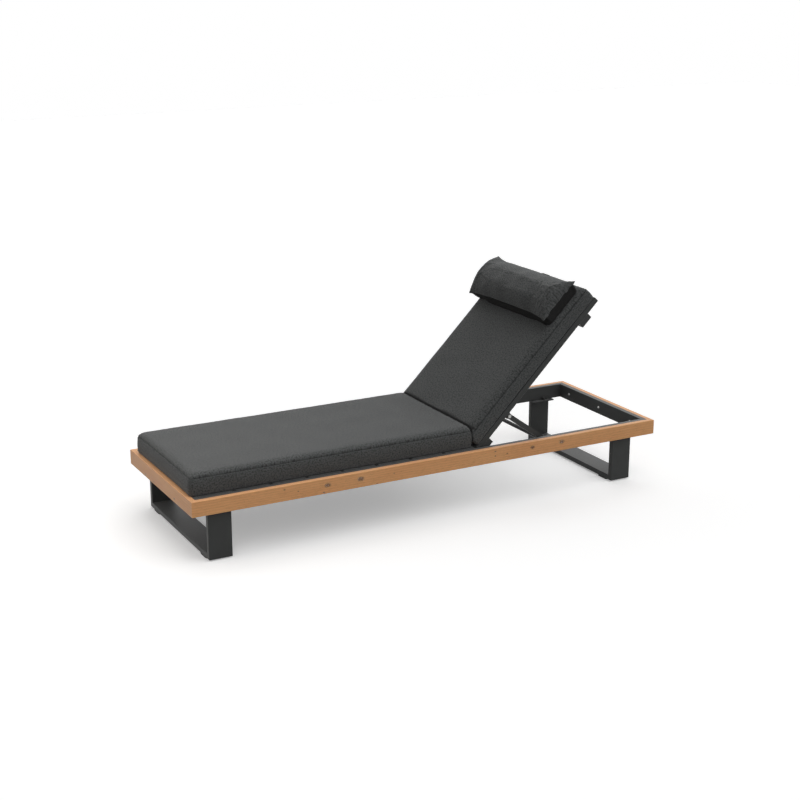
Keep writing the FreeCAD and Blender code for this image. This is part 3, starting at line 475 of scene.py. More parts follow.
PILLOW_STEP = 0.003
PILLOW_CROWDING = 0.35
PILLOW_SHADE_SHEET_PITCH = 0.0018
PILLOW_END_ROUND = 0.040
PILLOW_WAIST = 0.0140
PILLOW_WAIST_POWER = 6
PILLOW_SWELL = 0.26
PILLOW_SECTION_POWER = 1.34
PILLOW_UPPER_SHARE = 0.505
PILLOW_UNDER_REACH = 0.010
PILLOW_UNDER_SLOWER = 2.0
PILLOW_UNDER_CORNER = 0.024
PILLOW_SHADE_FLAP = 0.017
LIP_END = 0.19
LIP_FADE = 0.04
PILLOW_REST = 0.0835
PILLOW_CORE = 0.02
PILLOW_GIRTH = 0.4
PILLOW_UNDER_CLOTH = 0.7
PILLOW_PRESSURE = 3.0
PILLOW_MOST_MOVE = 0.004
PILLOW_FRAMES = 14
RIM_WAVE = 0.0018
RIM_WAVES = (9, 0.018, 0.05)
RIM_WAVE_REACH = 0.012
RIM_FADE = 0.012
CRUMPLE = 0.0025
CRUMPLE_WAVES = (14, 0.014, 0.036)
CRUMPLE_REACH = 0.032
FOLD = 0.0010
FOLD_WAVES = (9, 0.016, 0.045)
FOLD_SLANT = 0.25
FOLD_STRETCH = 0.15
FOLD_REACH = 0.034
PILLOW_LUMP = 0.0022
PILLOW_LUMP_WAVES = (10, 0.07, 0.20)
DENT = 0.0024
DENT_WAVES = (16, 0.011, 0.026)
DENT_FROM = 0.4
DENT_MOST = 1.3
DENT_REACH = 0.036
FAR_CALMER = 0.3
FAR_CHANGE = 0.05
PILLOW_SEAM = 0.0014
PILLOW_SEAM_WIDTH = 0.0035
PILLOW_SEAM_PLACE = 1.6


def pillow_shell(nx, ny):
    """Two sheets of nx by ny quads that share their rim: places, upper or lower, and quads."""
    i, j = np.meshgrid(np.arange(nx + 1), np.arange(ny + 1), indexing="ij")
    upper = np.arange(i.size).reshape(i.shape)
    inside = (i % nx != 0) & (j % ny != 0)
    lower = upper.copy()
    lower[inside] = i.size + np.arange(inside.sum())
    places = np.concatenate([np.stack([i.ravel(), j.ravel()], 1), np.stack([i[inside], j[inside]], 1)])
    sign = np.concatenate([np.ones(i.size), -np.ones(inside.sum())])
    ring = [upper[:-1, :-1], upper[1:, :-1], upper[1:, 1:], upper[:-1, 1:]]
    back = [lower[:-1, :-1], lower[:-1, 1:], lower[1:, 1:], lower[1:, :-1]]
    quads = [np.stack([part.ravel() for part in side], 1) for side in (ring, back)]
    return places, sign, np.concatenate(quads)


def calmer(y):
    """How strong folds and crumples are at a place across: 1 at the near end and less at the far one."""
    return 1 - FAR_CALMER * (1 + np.tanh(y / FAR_CHANGE))


def pillow_relief(along, y, v, end, rim):
    """How far the cloth stands out of the smooth pillow, all of it sums of sine waves.

    Broad lumps lie all over. Folds that run in from the sewn ends, a crumple and dents fade with
    the distance from the end, and are weaker at the far one. A bell-shaped groove follows the rim.
    """
    away = 1 - np.exp(-rim / RIM_FADE)
    lump = PILLOW_LUMP * ripples(along, y, 31, *PILLOW_LUMP_WAVES) * away
    fold = ripples(along + FOLD_SLANT * y * np.sign(v), FOLD_STRETCH * y, 37, *FOLD_WAVES)
    fold = FOLD * fold * np.exp(-end / FOLD_REACH) * np.cos(v * math.pi / 2)
    crumple = CRUMPLE * ripples(along, y, 41, *CRUMPLE_WAVES) * np.exp(-end / CRUMPLE_REACH) * away
    dent = np.clip(ripples(along, y, 43, *DENT_WAVES) - DENT_FROM, 0, DENT_MOST)
    dent = DENT * dent * np.exp(-end / DENT_REACH) * away
    groove = PILLOW_SEAM * np.exp(-((rim / PILLOW_SEAM_WIDTH - PILLOW_SEAM_PLACE) ** 2))
    return lump + calmer(y) * (fold + crumple - dent) - groove


def pillow_points(settings, half, u, v, sign):
    """The pillow's points, as (along the backrest, across, out of it), from u across it and v along
    the backrest, both -1 to 1. A sign of 1 is the upper sheet and -1 the lower one.

    A section runs by a sine from edge to edge, and the upper sheet stands over it by a power of the
    cosine. The height swells by a parabola in the middle and falls in a quarter circle at the sewn
    ends, between which the edges pull in. The lower sheet drops from the rim by a quarter oval that
    is rounded in plan at the corners, and lies flat on the cushion; it takes a near-black cloth that is
    painted shade for the shadow under the pillow. A lip of it is pushed out along the lower edge,
    fading to the far end, a dark flap that stands in for the contact shadow there. The rim waves up
    and down near the ends.
    """
    turn = v * math.pi / 2
    spread = np.sin(np.abs(u) * math.pi / 2)
    y = np.sign(u) * half * (PILLOW_CROWDING * spread + (1 - PILLOW_CROWDING) * np.abs(u))
    end = half - np.abs(y)
    middle = 1 - (y / half) ** PILLOW_WAIST_POWER
    width = settings.pillow_width / 2 - PILLOW_WAIST * middle
    along = width * np.sin(turn)
    side = width - np.abs(along)

    near_end = np.clip(1 - end / PILLOW_END_ROUND, 0, 1)
    swell = 1 + PILLOW_SWELL * (1 - (y / half) ** 2)
    full = PILLOW_UPPER_SHARE * settings.pillow_thickness * swell * np.sqrt(1 - near_end ** 2)
    corner = np.hypot(
        np.maximum(PILLOW_UNDER_CORNER - end / PILLOW_UNDER_SLOWER, 0),
        np.maximum(PILLOW_UNDER_CORNER - side, 0))
    edge = PILLOW_UNDER_CORNER - corner
    inward = np.sqrt(1 - np.clip(1 - edge / PILLOW_UNDER_REACH, 0, 1) ** 2)
    under = (1 - PILLOW_UPPER_SHARE) * settings.pillow_thickness
    out = np.where(sign > 0, full * np.cos(turn) ** PILLOW_SECTION_POWER, -under * inward)

    rim = np.minimum(end, settings.pillow_width / 2 * (1 - np.abs(v)))
    bump = pillow_relief(along, y, v, end, rim)
    scale = 1 + bump / np.maximum(np.hypot(along, out), PILLOW_CORE)
    out = out + sign * bump * np.cos(turn)
    along = along * (1 + (scale - 1) * np.sin(turn) ** 2)
    # Painted shade: the lip pushes the near-black lower sheet out as a dark flap where the contact shadow falls
    lip = inward * np.exp(-((side / PILLOW_UNDER_REACH / 2) ** 2)) * middle
    lip = lip * (0.5 - 0.5 * np.tanh((y - LIP_END) / LIP_FADE))
    along = along - np.where((sign < 0) & (v < 0), PILLOW_SHADE_FLAP * lip, 0)
    wave = RIM_WAVE * ripples(along, y, 47, *RIM_WAVES) * np.exp(-end / RIM_WAVE_REACH)
    rim_height = PILLOW_REST + under + calmer(y) * wave * (1 - inward * (sign < 0))
    out = np.maximum(rim_height + out, PILLOW_REST)
    return np.stack([settings.pillow_setback + along, y, out], 1)


class LOUNGER_OT_head_pillow(bpy.types.Operator):
    """Make the stuffed pillow at the top of the backrest; its lower sheet below the rim is near-black cloth,
    painted shade for the shadow under the pillow.
    """

    bl_idname = "lounger.head_pillow"
    bl_label = "Head pillow"

    def execute(self, context):
        settings = context.scene.lounger_cushions
        half = (SEAT_HIGH[1] - SEAT_LOW[1]) / 2
        nx = round(2 * half / PILLOW_STEP)
        ny = round(1.5 * settings.pillow_width / PILLOW_STEP)
        places, sign, quads = pillow_shell(nx, ny)
        u = 2 * places[:, 0] / nx - 1
        v = 2 * places[:, 1] / ny - 1
        points = pillow_points(settings, half, u, v, sign)
        girth = v * math.pi / 2 * settings.pillow_width * PILLOW_GIRTH
        uv = np.stack([points[:, 1], girth + (sign < 0) * PILLOW_UNDER_CLOTH], 1)
        cloth = cloth_material(context, "pillow cloth")
        piece = make_piece("head_pillow_cover", on_backrest(points), quads, cloth, uv)
        # Painted shade: the lower sheet takes a near-black cloth for the shadow under the pillow
        piece.data.materials.append(black_weave_material("pillow backing", PILLOW_SHADE_SHEET_PITCH))
        painted_shade_sheet = (np.arange(len(quads)) >= nx * ny).astype(np.int32)
        piece.data.polygons.foreach_set("material_index", painted_shade_sheet)
        inflate(piece, PILLOW_PRESSURE, PILLOW_MOST_MOVE, PILLOW_FRAMES)
        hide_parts("head_pillow")
        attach(piece, "backrest")
        return {"FINISHED"}


def inflate(piece, pressure, cap, frames):
    """Let a cloth simulation swell the piece under pressure for some frames, without weight, and
    shorten each point's move to the cap."""
    scene = bpy.context.scene
    mesh = piece.data
    before = np.empty(len(mesh.vertices) * 3)
    mesh.vertices.foreach_get("co", before)
    before = before.reshape(-1, 3)
    cloth = piece.modifiers.new("swell", "CLOTH")
    cloth.settings.quality = 5
    cloth.settings.mass = 0.3
    cloth.settings.use_pressure = True
    cloth.settings.uniform_pressure_force = pressure
    cloth.settings.effector_weights.gravity = 0
    cloth.point_cache.frame_start = 1
    cloth.point_cache.frame_end = frames
    for step in range(1, frames + 1):
        scene.frame_set(step)
    solved = piece.evaluated_get(bpy.context.evaluated_depsgraph_get()).to_mesh()
    after = np.empty(len(solved.vertices) * 3)
    solved.vertices.foreach_get("co", after)
    after = after.reshape(-1, 3)
    piece.modifiers.remove(cloth)
    scene.frame_set(1)
    move = after - before
    size = np.linalg.norm(move, axis=1, keepdims=True)
    move *= np.minimum(1, cap / np.maximum(size, 1e-9))
    mesh.vertices.foreach_set("co", (before + move).reshape(-1))
    mesh.update()


# Pillow band

STRAP_HALF_WIDTH = 0.020
STRAP_THICKNESS = 0.0018
STRAP_STEP = 0.002
STRAP_PITCH = 0.0024
STRAP_OVER = 0.003
STRAP_PAST_END = 0.0045
STRAP_UNDER = 0.0015
STRAP_TAIL = 0.700


class LOUNGER_OT_pillow_strap(bpy.types.Operator):
    """Make the webbing band that holds the pillow over the backrest's top end."""

    bl_idname = "lounger.pillow_strap"
    bl_label = "Pillow band"

    def execute(self, context):
        """A flat band: a path of points in the side view, (along the backrest, out of it), from under
        the pillow over the cushion's end to the panel's rear, rounded by averaging along it, with a
        rectangular section carried along."""
        settings = context.scene.lounger_cushions
        pillow_edge = settings.pillow_setback + settings.pillow_width / 2 - PILLOW_WAIST
        end = BACK_END + STRAP_PAST_END
        knee = PANEL_FRONT + settings.back_height
        over = knee + settings.back_crown + STRAP_OVER
        under = -PANEL_FRONT - STRAP_UNDER
        route = np.array([
            [pillow_edge - 0.020, over], [end - 0.024, over], [end - 0.003, knee + 0.010],
            [end, knee - 0.010], [end, 0.0], [end, under], [end - 0.004, under], [STRAP_TAIL, under],
        ])
        path = smooth_path(route, STRAP_STEP, 3)
        way = np.gradient(path, axis=0)
        way /= np.linalg.norm(way, axis=1, keepdims=True)
        side = np.stack([-way[:, 1], way[:, 0]], 1)
        corners = [(-1, -1), (1, -1), (1, 1), (-1, 1)]
        rings = [
            np.column_stack([
                path[:, 0] + side[:, 0] * up * STRAP_THICKNESS / 2,
                np.full(len(path), across * STRAP_HALF_WIDTH),
                path[:, 1] + side[:, 1] * up * STRAP_THICKNESS / 2,
            ])
            for across, up in corners
        ]
        points = np.stack(rings, 1).reshape(-1, 3)
        count = len(path)
        grid = np.arange(4 * count).reshape(count, 4)
        follow = np.roll(grid, -1, 1)
        quads = np.stack([grid[:-1], grid[1:], follow[1:], follow[:-1]], 2).reshape(-1, 4)
        quads = np.concatenate([quads, grid[:1], grid[-1:, ::-1]])
        uv = np.column_stack([points[:, 1], np.repeat(np.arange(count) * STRAP_STEP, 4)])
        webbing = black_weave_material("black webbing", STRAP_PITCH)
        piece = make_piece("pillow_band", on_backrest(points), quads, webbing, uv)
        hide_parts("pillow_strap")
        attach(piece, "backrest")
        return {"FINISHED"}


def smooth_path(route, step, passes):
    """Points at even steps along a route of straight runs, each corner rounded by averaging."""
    runs = np.linalg.norm(np.diff(route, axis=0), axis=1)
    place = np.concatenate([[0], np.cumsum(runs)])
    even = np.linspace(0, place[-1], round(place[-1] / step) + 1)
    path = np.stack([np.interp(even, place, route[:, axis]) for axis in (0, 1)], 1)
    for _ in range(passes):
        path[1:-1] = (path[:-2] + 2 * path[1:-1] + path[2:]) / 4
    return path


# Shader building

def feed(tree, socket, value):
    """Link a socket into another, or set it to a number, a vector or a colour."""
    if isinstance(value, bpy.types.NodeSocket):
        tree.links.new(value, socket)
    elif isinstance(value, (int, float)):
        socket.default_value = value
    else:
        socket.default_value = (*value, 1.0)[:len(socket.default_value)]


def add_node(tree, kind, **values):
    """A shader node with attributes and inputs set; an underscore stands for a space."""
    node = tree.nodes.new(kind)
    for name, value in values.items():
        if name in node.bl_rna.properties:
            setattr(node, name, value)
        else:
            feed(tree, node.inputs[name.replace("_", " ")], value)
    return node


def math_node(tree, operation, *values):
    """A Math node's output from numbers or sockets."""
    node = add_node(tree, "ShaderNodeMath", operation=operation)
    for slot, value in enumerate(values):
        feed(tree, node.inputs[slot], value)
    return node.outputs[0]


def mix_colour(tree, share, first, second):
    """A colour between two colours or sockets, by a share of the second."""
    node = add_node(tree, "ShaderNodeMix", data_type="RGBA")
    for slot, value in ((0, share), (6, first), (7, second)):
        feed(tree, node.inputs[slot], value)
    return node.outputs[2]


def lay_over(tree, base, colour, mask, share):
    """A colour laid over another through a mask times a share."""
    return mix_colour(tree, math_node(tree, "MULTIPLY", mask, share), base, colour)


def noise(tree, vector, size, detail, stretch=None, distortion=0.0):
    """A noise's value from 0 to 1 at a vector, which is scaled along each axis by a stretch."""
    if stretch is not None:
        vector = add_node(tree, "ShaderNodeMapping", Vector=vector, Scale=stretch).outputs[0]
    node = add_node(
        tree, "ShaderNodeTexNoise", Vector=vector, Scale=size, Detail=detail, Distortion=distortion)
    return node.outputs[0]


def ramp(tree, value, low, high, at_low, at_high, way="LINEAR"):
    """A value mapped from the span low to high onto the span at_low to at_high, and held beyond."""
    node = add_node(tree, "ShaderNodeMapRange", interpolation_type=way)
    for slot, number in enumerate((value, low, high, at_low, at_high)):
        feed(tree, node.inputs[slot], number)
    return node.outputs[0]


def new_group(name, inputs, outputs):
    """An empty shader node group with named sockets, and its input and output nodes."""
    tree = bpy.data.node_groups.new(name, "ShaderNodeTree")
    for label, kind, value in inputs:
        socket = tree.interface.new_socket(label, in_out="INPUT", socket_type=kind)
        if value is not None:
            socket.default_value = value
    for label, kind in outputs:
        tree.interface.new_socket(label, in_out="OUTPUT", socket_type=kind)
    return tree, tree.nodes.new("NodeGroupInput"), tree.nodes.new("NodeGroupOutput")


def use_group(tree, group, **values):
    """An instance of a node group with inputs set from values or sockets."""
    node = tree.nodes.new("ShaderNodeGroup")
    node.node_tree = group
    for name, value in values.items():
        feed(tree, node.inputs[name], value)
    return node


def new_material(name):
    """An empty material with a Principled shader and its output."""
    material = bpy.data.materials.new(name)
    material.use_nodes = True
    tree = material.node_tree
    tree.nodes.clear()
    shader = tree.nodes.new("ShaderNodeBsdfPrincipled")
    output = tree.nodes.new("ShaderNodeOutputMaterial")
    tree.links.new(shader.outputs[0], output.inputs[0])
    return material, tree, shader


def set_inputs(tree, shader, **values):
    """Link or set a shader's inputs; an underscore stands for a space."""
    for name, value in values.items():
        feed(tree, shader.inputs[name.replace("_", " ")], value)


def bump(tree, height, strength, distance):
    """The normal that a height in metres gives."""
    node = add_node(tree, "ShaderNodeBump", Height=height, Strength=strength, Distance=distance)
    return node.outputs["Normal"]


def cached(name, build):
    """A material or group that is built once and then shared."""
    return bpy.data.materials.get(name) or bpy.data.node_groups.get(name) or build()


# Materials

WEAVE_GROUP = "Woven cloth"
GRAIN_GROUP = "Timber grain"
KNOT_GROUP = "Timber knot"
ORANGE_PEEL_GROUP = "Coating texture"


def weave_group():
    """Plain weave: two crossed sets of threads.

    The height is the product of two sines, one half turn per thread, which lifts warp and weft in
    turn. The fleck is noise drawn out along each thread, taken from the set that lies on top, and the
    shade is a coarser noise.
    """
    tree, start, end = new_group(
        WEAVE_GROUP,
        [("Vector", "NodeSocketVector", None), ("Pitch", "NodeSocketFloat", 0.0016)],
        [("Height", "NodeSocketFloat"), ("Fleck", "NodeSocketFloat"), ("Shade", "NodeSocketFloat")],
    )
    split = add_node(tree, "ShaderNodeSeparateXYZ", Vector=start.outputs["Vector"])
    sines = []
    for axis in (0, 1):
        share = math_node(tree, "DIVIDE", split.outputs[axis], start.outputs["Pitch"])
        sines.append(math_node(tree, "SINE", math_node(tree, "MULTIPLY", share, math.pi)))
    over = math_node(tree, "MULTIPLY", sines[0], sines[1])
    flecks = [
        noise(tree, start.outputs["Vector"], 1.0, 1.0, stretch)
        for stretch in ((160.0, 900.0, 1.0), (900.0, 160.0, 1.0))
    ]
    on_top = math_node(tree, "GREATER_THAN", over, 0.0)
    pick = tree.nodes.new("ShaderNodeMix")
    for slot, source in ((0, on_top), (2, flecks[0]), (3, flecks[1])):
        feed(tree, pick.inputs[slot], source)
    set_inputs(
        tree, end, Height=math_node(tree, "ABSOLUTE", over), Fleck=pick.outputs[0],
        Shade=noise(tree, start.outputs["Vector"], 170.0, 2.0))
    return tree


def cloth_material(context, name):
    """Woven outdoor cloth: mottled grey yarns with paler flecks, with painted shade between the threads,
    at the seam grooves and in the crease, a thread-scale relief and a soft sheen."""
    finish = context.scene.lounger_finishes
    material, tree, shader = new_material(name)
    lie = add_node(tree, "ShaderNodeUVMap", uv_map="cloth")
    weave = use_group(
        tree, cached(WEAVE_GROUP, weave_group),
        Vector=lie.outputs[0], Pitch=context.scene.lounger_cushions.thread)
    dark = tuple(0.55 * value for value in finish.cloth)
    share = math_node(tree, "MULTIPLY_ADD", weave.outputs["Shade"], 3.8, -1.65)
    share = math_node(tree, "MULTIPLY_ADD", weave.outputs["Fleck"], 0.9, share)
    base = mix_colour(tree, share, dark, finish.cloth_fleck)
    # Painted shade: the colour darkens between the threads, at the seam grooves and in the crease
    between = math_node(tree, "SUBTRACT", 1.0, weave.outputs["Height"])
    seam = add_node(tree, "ShaderNodeAttribute", attribute_name="seam").outputs["Fac"]
    for mask, share in ((between, 0.3), (seam, 0.95)):
        base = lay_over(tree, base, finish.painted_shade_colour, mask, share)
    relief = math_node(tree, "MULTIPLY_ADD", weave.outputs["Fleck"], 0.6, weave.outputs["Height"])
    set_inputs(
        tree, shader, Base_Color=base, Roughness=0.92, Specular_IOR_Level=0.25, Sheen_Weight=0.16,
        Sheen_Roughness=0.5, Normal=bump(tree, relief, 0.55, 0.0004))
    return material


BLACK_WEAVE_DARK = (0.010, 0.010, 0.010)
BLACK_WEAVE_PALE = (0.032, 0.032, 0.031)


def black_weave_material(name, pitch):
    """Black woven stuff with a ribbed relief: the band's webbing, and the pillow's near-black lower sheet, which
    is painted shade for the shadow under the pillow.
    """
    material, tree, shader = new_material(name)
    lie = add_node(tree, "ShaderNodeUVMap", uv_map="cloth")
    weave = use_group(tree, cached(WEAVE_GROUP, weave_group), Vector=lie.outputs[0], Pitch=pitch)
    base = mix_colour(tree, weave.outputs["Fleck"], BLACK_WEAVE_DARK, BLACK_WEAVE_PALE)
    set_inputs(
        tree, shader, Base_Color=base, Roughness=0.8, Specular_IOR_Level=0.06,
        Normal=bump(tree, weave.outputs["Height"], 0.8, 0.0006))
    return material


def grain_group():
    """Straight-grained timber along the first axis.

    Growth bands are a distorted wave across the board, fibres are noise drawn out forty to one,
    pores are short dark dashes where a finer drawn-out noise passes a threshold, and patches are a
    broad noise.
    """
    tree, start, end = new_group(
        GRAIN_GROUP,
        [("Vector", "NodeSocketVector", None)],
        [("Band", "NodeSocketFloat"), ("Fibre", "NodeSocketFloat"), ("Pore", "NodeSocketFloat"),
         ("Patch", "NodeSocketFloat")],
    )
    place = start.outputs["Vector"]
    board = add_node(tree, "ShaderNodeMapping", Vector=place, Scale=(2.2, 26.0, 26.0))
    wave = add_node(
        tree, "ShaderNodeTexWave", wave_type="BANDS", bands_direction="Z", Vector=board.outputs[0],
        Scale=1.3, Distortion=5.5, Detail=3.0, Detail_Scale=0.8, Detail_Roughness=0.55)
    fine = noise(tree, place, 1.0, 1.0, (60.0, 1300.0, 1300.0))
    set_inputs(
        tree, end, Band=wave.outputs["Fac"],
        Fibre=noise(tree, place, 1.0, 5.0, (9.0, 360.0, 360.0), 0.2),
        Pore=ramp(tree, fine, 0.60, 0.70, 0.0, 1.0),
        Patch=noise(tree, place, 1.0, 3.0, (3.5, 9.0, 9.0)))
    return tree


def knot_group():
    """One knot: a mask that falls smoothly with the distance to a place, which noise makes ragged and
    which is drawn out along the grain. The mask is never less than the one of the knots before it."""
    tree, start, end = new_group(
        KNOT_GROUP,
        [("Vector", "NodeSocketVector", None), ("Place", "NodeSocketVector", (0.0, 0.0, 0.0)),
         ("Size", "NodeSocketFloat", 0.008), ("Before", "NodeSocketFloat", 0.0)],
        [("Mask", "NodeSocketFloat")],
    )
    offset = add_node(tree, "ShaderNodeVectorMath", operation="SUBTRACT")
    feed(tree, offset.inputs[0], start.outputs["Vector"])
    feed(tree, offset.inputs[1], start.outputs["Place"])
    squeeze = add_node(tree, "ShaderNodeVectorMath", operation="MULTIPLY")
    feed(tree, squeeze.inputs[0], offset.outputs[0])
    feed(tree, squeeze.inputs[1], (0.62, 1.0, 1.0))
    wobble = noise(tree, start.outputs["Vector"], 260.0, 2.0)
    length = add_node(tree, "ShaderNodeVectorMath", operation="LENGTH", Vector=squeeze.outputs[0])
    share = math_node(tree, "DIVIDE", length.outputs["Value"], start.outputs["Size"])
    share = math_node(tree, "MULTIPLY_ADD", wobble, 0.9, share)
    mask = ramp(tree, share, 0.75, 1.35, 1.0, 0.0, "SMOOTHSTEP")
    most = math_node(tree, "MAXIMUM", mask, start.outputs["Before"])
    set_inputs(tree, end, Mask=most)
    return tree


# Knots that show on the near rail's outer face: place along the bed and up, and size, in metres
NEAR_KNOTS = (
    (-0.647, 0.228, 0.0040), (-0.593, 0.213, 0.0030), (-0.475, 0.216, 0.0120), (-0.491, 0.190, 0.0040),
    (-0.340, 0.217, 0.0130), (-0.274, 0.186, 0.0035), (-0.202, 0.215, 0.0030), (0.240, 0.229, 0.0035),
    (0.241, 0.211, 0.0035), (0.295, 0.212, 0.0035), (0.411, 0.219, 0.0095), (0.548, 0.220, 0.0115),
)
# Knots on the foot rail's outer face: place across the bed and up, and size
FOOT_KNOTS = ((0.159, 0.193, 0.0080), (0.066, 0.193, 0.0058), (-0.151, 0.199, 0.0066))
KNOT_FLECK = (0.52, 0.50, 0.47)


def timber_material(context, name, across, knots):
    """Oiled timber whose grain runs along the rail, with growth bands, fibres, pale patches, pores and
    knots flecked with grey."""
    finish = context.scene.lounger_finishes
    material, tree, shader = new_material(name)
    place = tree.nodes.new("ShaderNodeTexCoord").outputs["Object"]
    quarter = (0.0, 0.0, math.pi / 2 if across else 0.0)
    turn = add_node(tree, "ShaderNodeMapping", Vector=place, Rotation=quarter)
    grain = use_group(tree, cached(GRAIN_GROUP, grain_group), Vector=turn.outputs[0])
    fibre = math_node(tree, "MULTIPLY_ADD", grain.outputs["Fibre"], 1.5, -0.42)
    patch = math_node(tree, "MULTIPLY_ADD", grain.outputs["Patch"], 1.8, -0.62)
    pale = tuple(min(1.0, 1.22 * value) for value in finish.timber)
    pore_dark = tuple(0.55 * value for value in finish.timber_dark)
    base = finish.timber
    for colour, share, strength in (
        (finish.timber_dark, grain.outputs["Band"], 0.42), (finish.timber_dark, fibre, 0.55),
        (pale, patch, 0.6), (pore_dark, grain.outputs["Pore"], 0.45),
    ):
        base = lay_over(tree, base, colour, share, strength)
    mask = 0.0
    for along, up, size in knots:
        centre = (RAIL_LOW[0], along, up) if across else (along, RAIL_LOW[1], up)
        mask = use_group(
            tree, cached(KNOT_GROUP, knot_group),
            Vector=place, Place=centre, Size=size, Before=mask).outputs["Mask"]
    if knots:
        fleck = math_node(tree, "GREATER_THAN", noise(tree, place, 240.0, 1.0), 0.60)
        base = lay_over(tree, base, mix_colour(tree, fleck, finish.knot, KNOT_FLECK), mask, 0.8)
    relief = math_node(tree, "MULTIPLY_ADD", grain.outputs["Pore"], -0.8, grain.outputs["Fibre"])
    set_inputs(
        tree, shader, Base_Color=base, Specular_IOR_Level=0.06, Sheen_Weight=0.5, Sheen_Roughness=0.35,
        Roughness=math_node(tree, "MULTIPLY_ADD", grain.outputs["Fibre"], 0.18, 0.30),
        Normal=bump(tree, relief, 0.35, 0.0006))
    return material


def coating_group():
    """The fine orange peel and grit of a powder coat, two noises of different size, and a cloudy
    shade from a third, broad one."""
    tree, start, end = new_group(
        ORANGE_PEEL_GROUP,
        [("Vector", "NodeSocketVector", None)],
        [("Height", "NodeSocketFloat"), ("Shade", "NodeSocketFloat")],
    )
    peel, grit, cloud = (
        noise(tree, start.outputs["Vector"], size, detail)
        for size, detail in ((420.0, 2.0), (1900.0, 1.0), (9.0, 4.0))
    )
    set_inputs(tree, end, Height=math_node(tree, "MULTIPLY_ADD", grit, 0.5, peel), Shade=cloud)
    return tree


def grained_material(name, dark, light, roughness, relief, specular=0.5, metallic=0.0, sheen=0.0):
    """A plain finish with the coating's fine texture, a slight cloudiness and varying roughness."""
    material, tree, shader = new_material(name)
    place = tree.nodes.new("ShaderNodeTexCoord").outputs["Object"]
    coat = use_group(tree, cached(ORANGE_PEEL_GROUP, coating_group), Vector=place)
    set_inputs(
        tree, shader, Base_Color=mix_colour(tree, coat.outputs["Shade"], dark, light),
        Roughness=math_node(tree, "MULTIPLY_ADD", coat.outputs["Shade"], 0.12, roughness - 0.06),
        Metallic=metallic, Specular_IOR_Level=specular, Sheen_Weight=sheen, Sheen_Roughness=0.35,
        Normal=bump(tree, coat.outputs["Height"], relief, 0.0003))
    return material


def coated_metal(context):
    """The frame's anthracite powder coat."""
    colour = context.scene.lounger_finishes.coating
    dark, light = (tuple(share * value for value in colour) for share in (0.86, 1.14))
    return grained_material("anthracite coat", dark, light, 0.46, 0.35, 0.14, sheen=0.6)


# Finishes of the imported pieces

def dress(node, material):
    """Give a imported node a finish."""
    slots = frame["nodes"][node].data.materials
    slots.clear()
    slots.append(material)


def nodes_in(slot):
    """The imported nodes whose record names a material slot."""
    return [part["node"] for part in frame["record"]["subparts"] if part["material_slot"] == slot]


class LOUNGER_OT_timber_rails(bpy.types.Operator):
    """Give the four rails their timber, with the grain along each rail."""

    bl_idname = "lounger.timber_rails"
    bl_label = "Timber rails"

    def execute(self, context):
        dress("wood_rail_near", timber_material(context, "timber near rail", False, NEAR_KNOTS))
        dress("wood_rail_foot", timber_material(context, "timber foot rail", True, FOOT_KNOTS))
        dress("wood_rail_far", timber_material(context, "timber far rail", False, ()))
        dress("wood_rail_head", timber_material(context, "timber head rail", True, ()))
        return {"FINISHED"}


class LOUNGER_OT_metal_frame(bpy.types.Operator):
    """Give the rails, legs, slats, racks, backrest and strut their powder coat."""

    bl_idname = "lounger.metal_frame"
    bl_label = "Metal frame"

    def execute(self, context):
        material = coated_metal(context)
        for node in nodes_in("coated_aluminium"):
            dress(node, material)
        return {"FINISHED"}


class LOUNGER_OT_fittings(bpy.types.Operator):
    """Give screws, bolts, bushes, caps, pads and buffers their finishes."""

    bl_idname = "lounger.fittings"
    bl_label = "Fittings"

    def execute(self, context):
        finishes = {
            "stainless": grained_material(
                "stainless steel", (0.30, 0.30, 0.29), (0.42, 0.42, 0.41), 0.34, 0.1, metallic=1.0),
            "rubber_foot": grained_material(
                "black rubber", (0.016, 0.016, 0.016), (0.03, 0.03, 0.03), 0.8, 0.6),
            "black_nylon": grained_material(
                "black nylon", (0.02, 0.02, 0.02), (0.03, 0.03, 0.031), 0.5, 0.3),
        }
        for slot, material in finishes.items():
            for node in nodes_in(slot):
                dress(node, material)
        return {"FINISHED"}


# Camera, floor and light

FLOOR_HALF = 14.0
KEY_FROM = np.array([0.56, 0.0, 0.83])
FAR_FROM = np.array([0.0, 0.87, 0.50])
NEAR_FROM = np.array([0.0, -0.77, 0.64])
FOOT_AIM = np.array([-0.85, 0.0, 0.25])
FOOT_LAMP = np.array([-1.9, 0.0, 0.9])
FOOT_SPOT = np.array([-1.15, -0.05, 2.0])
FOOT_SPOT_CONE = math.radians(38)
FOOT_TINT = (1.0, 0.95, 0.90)


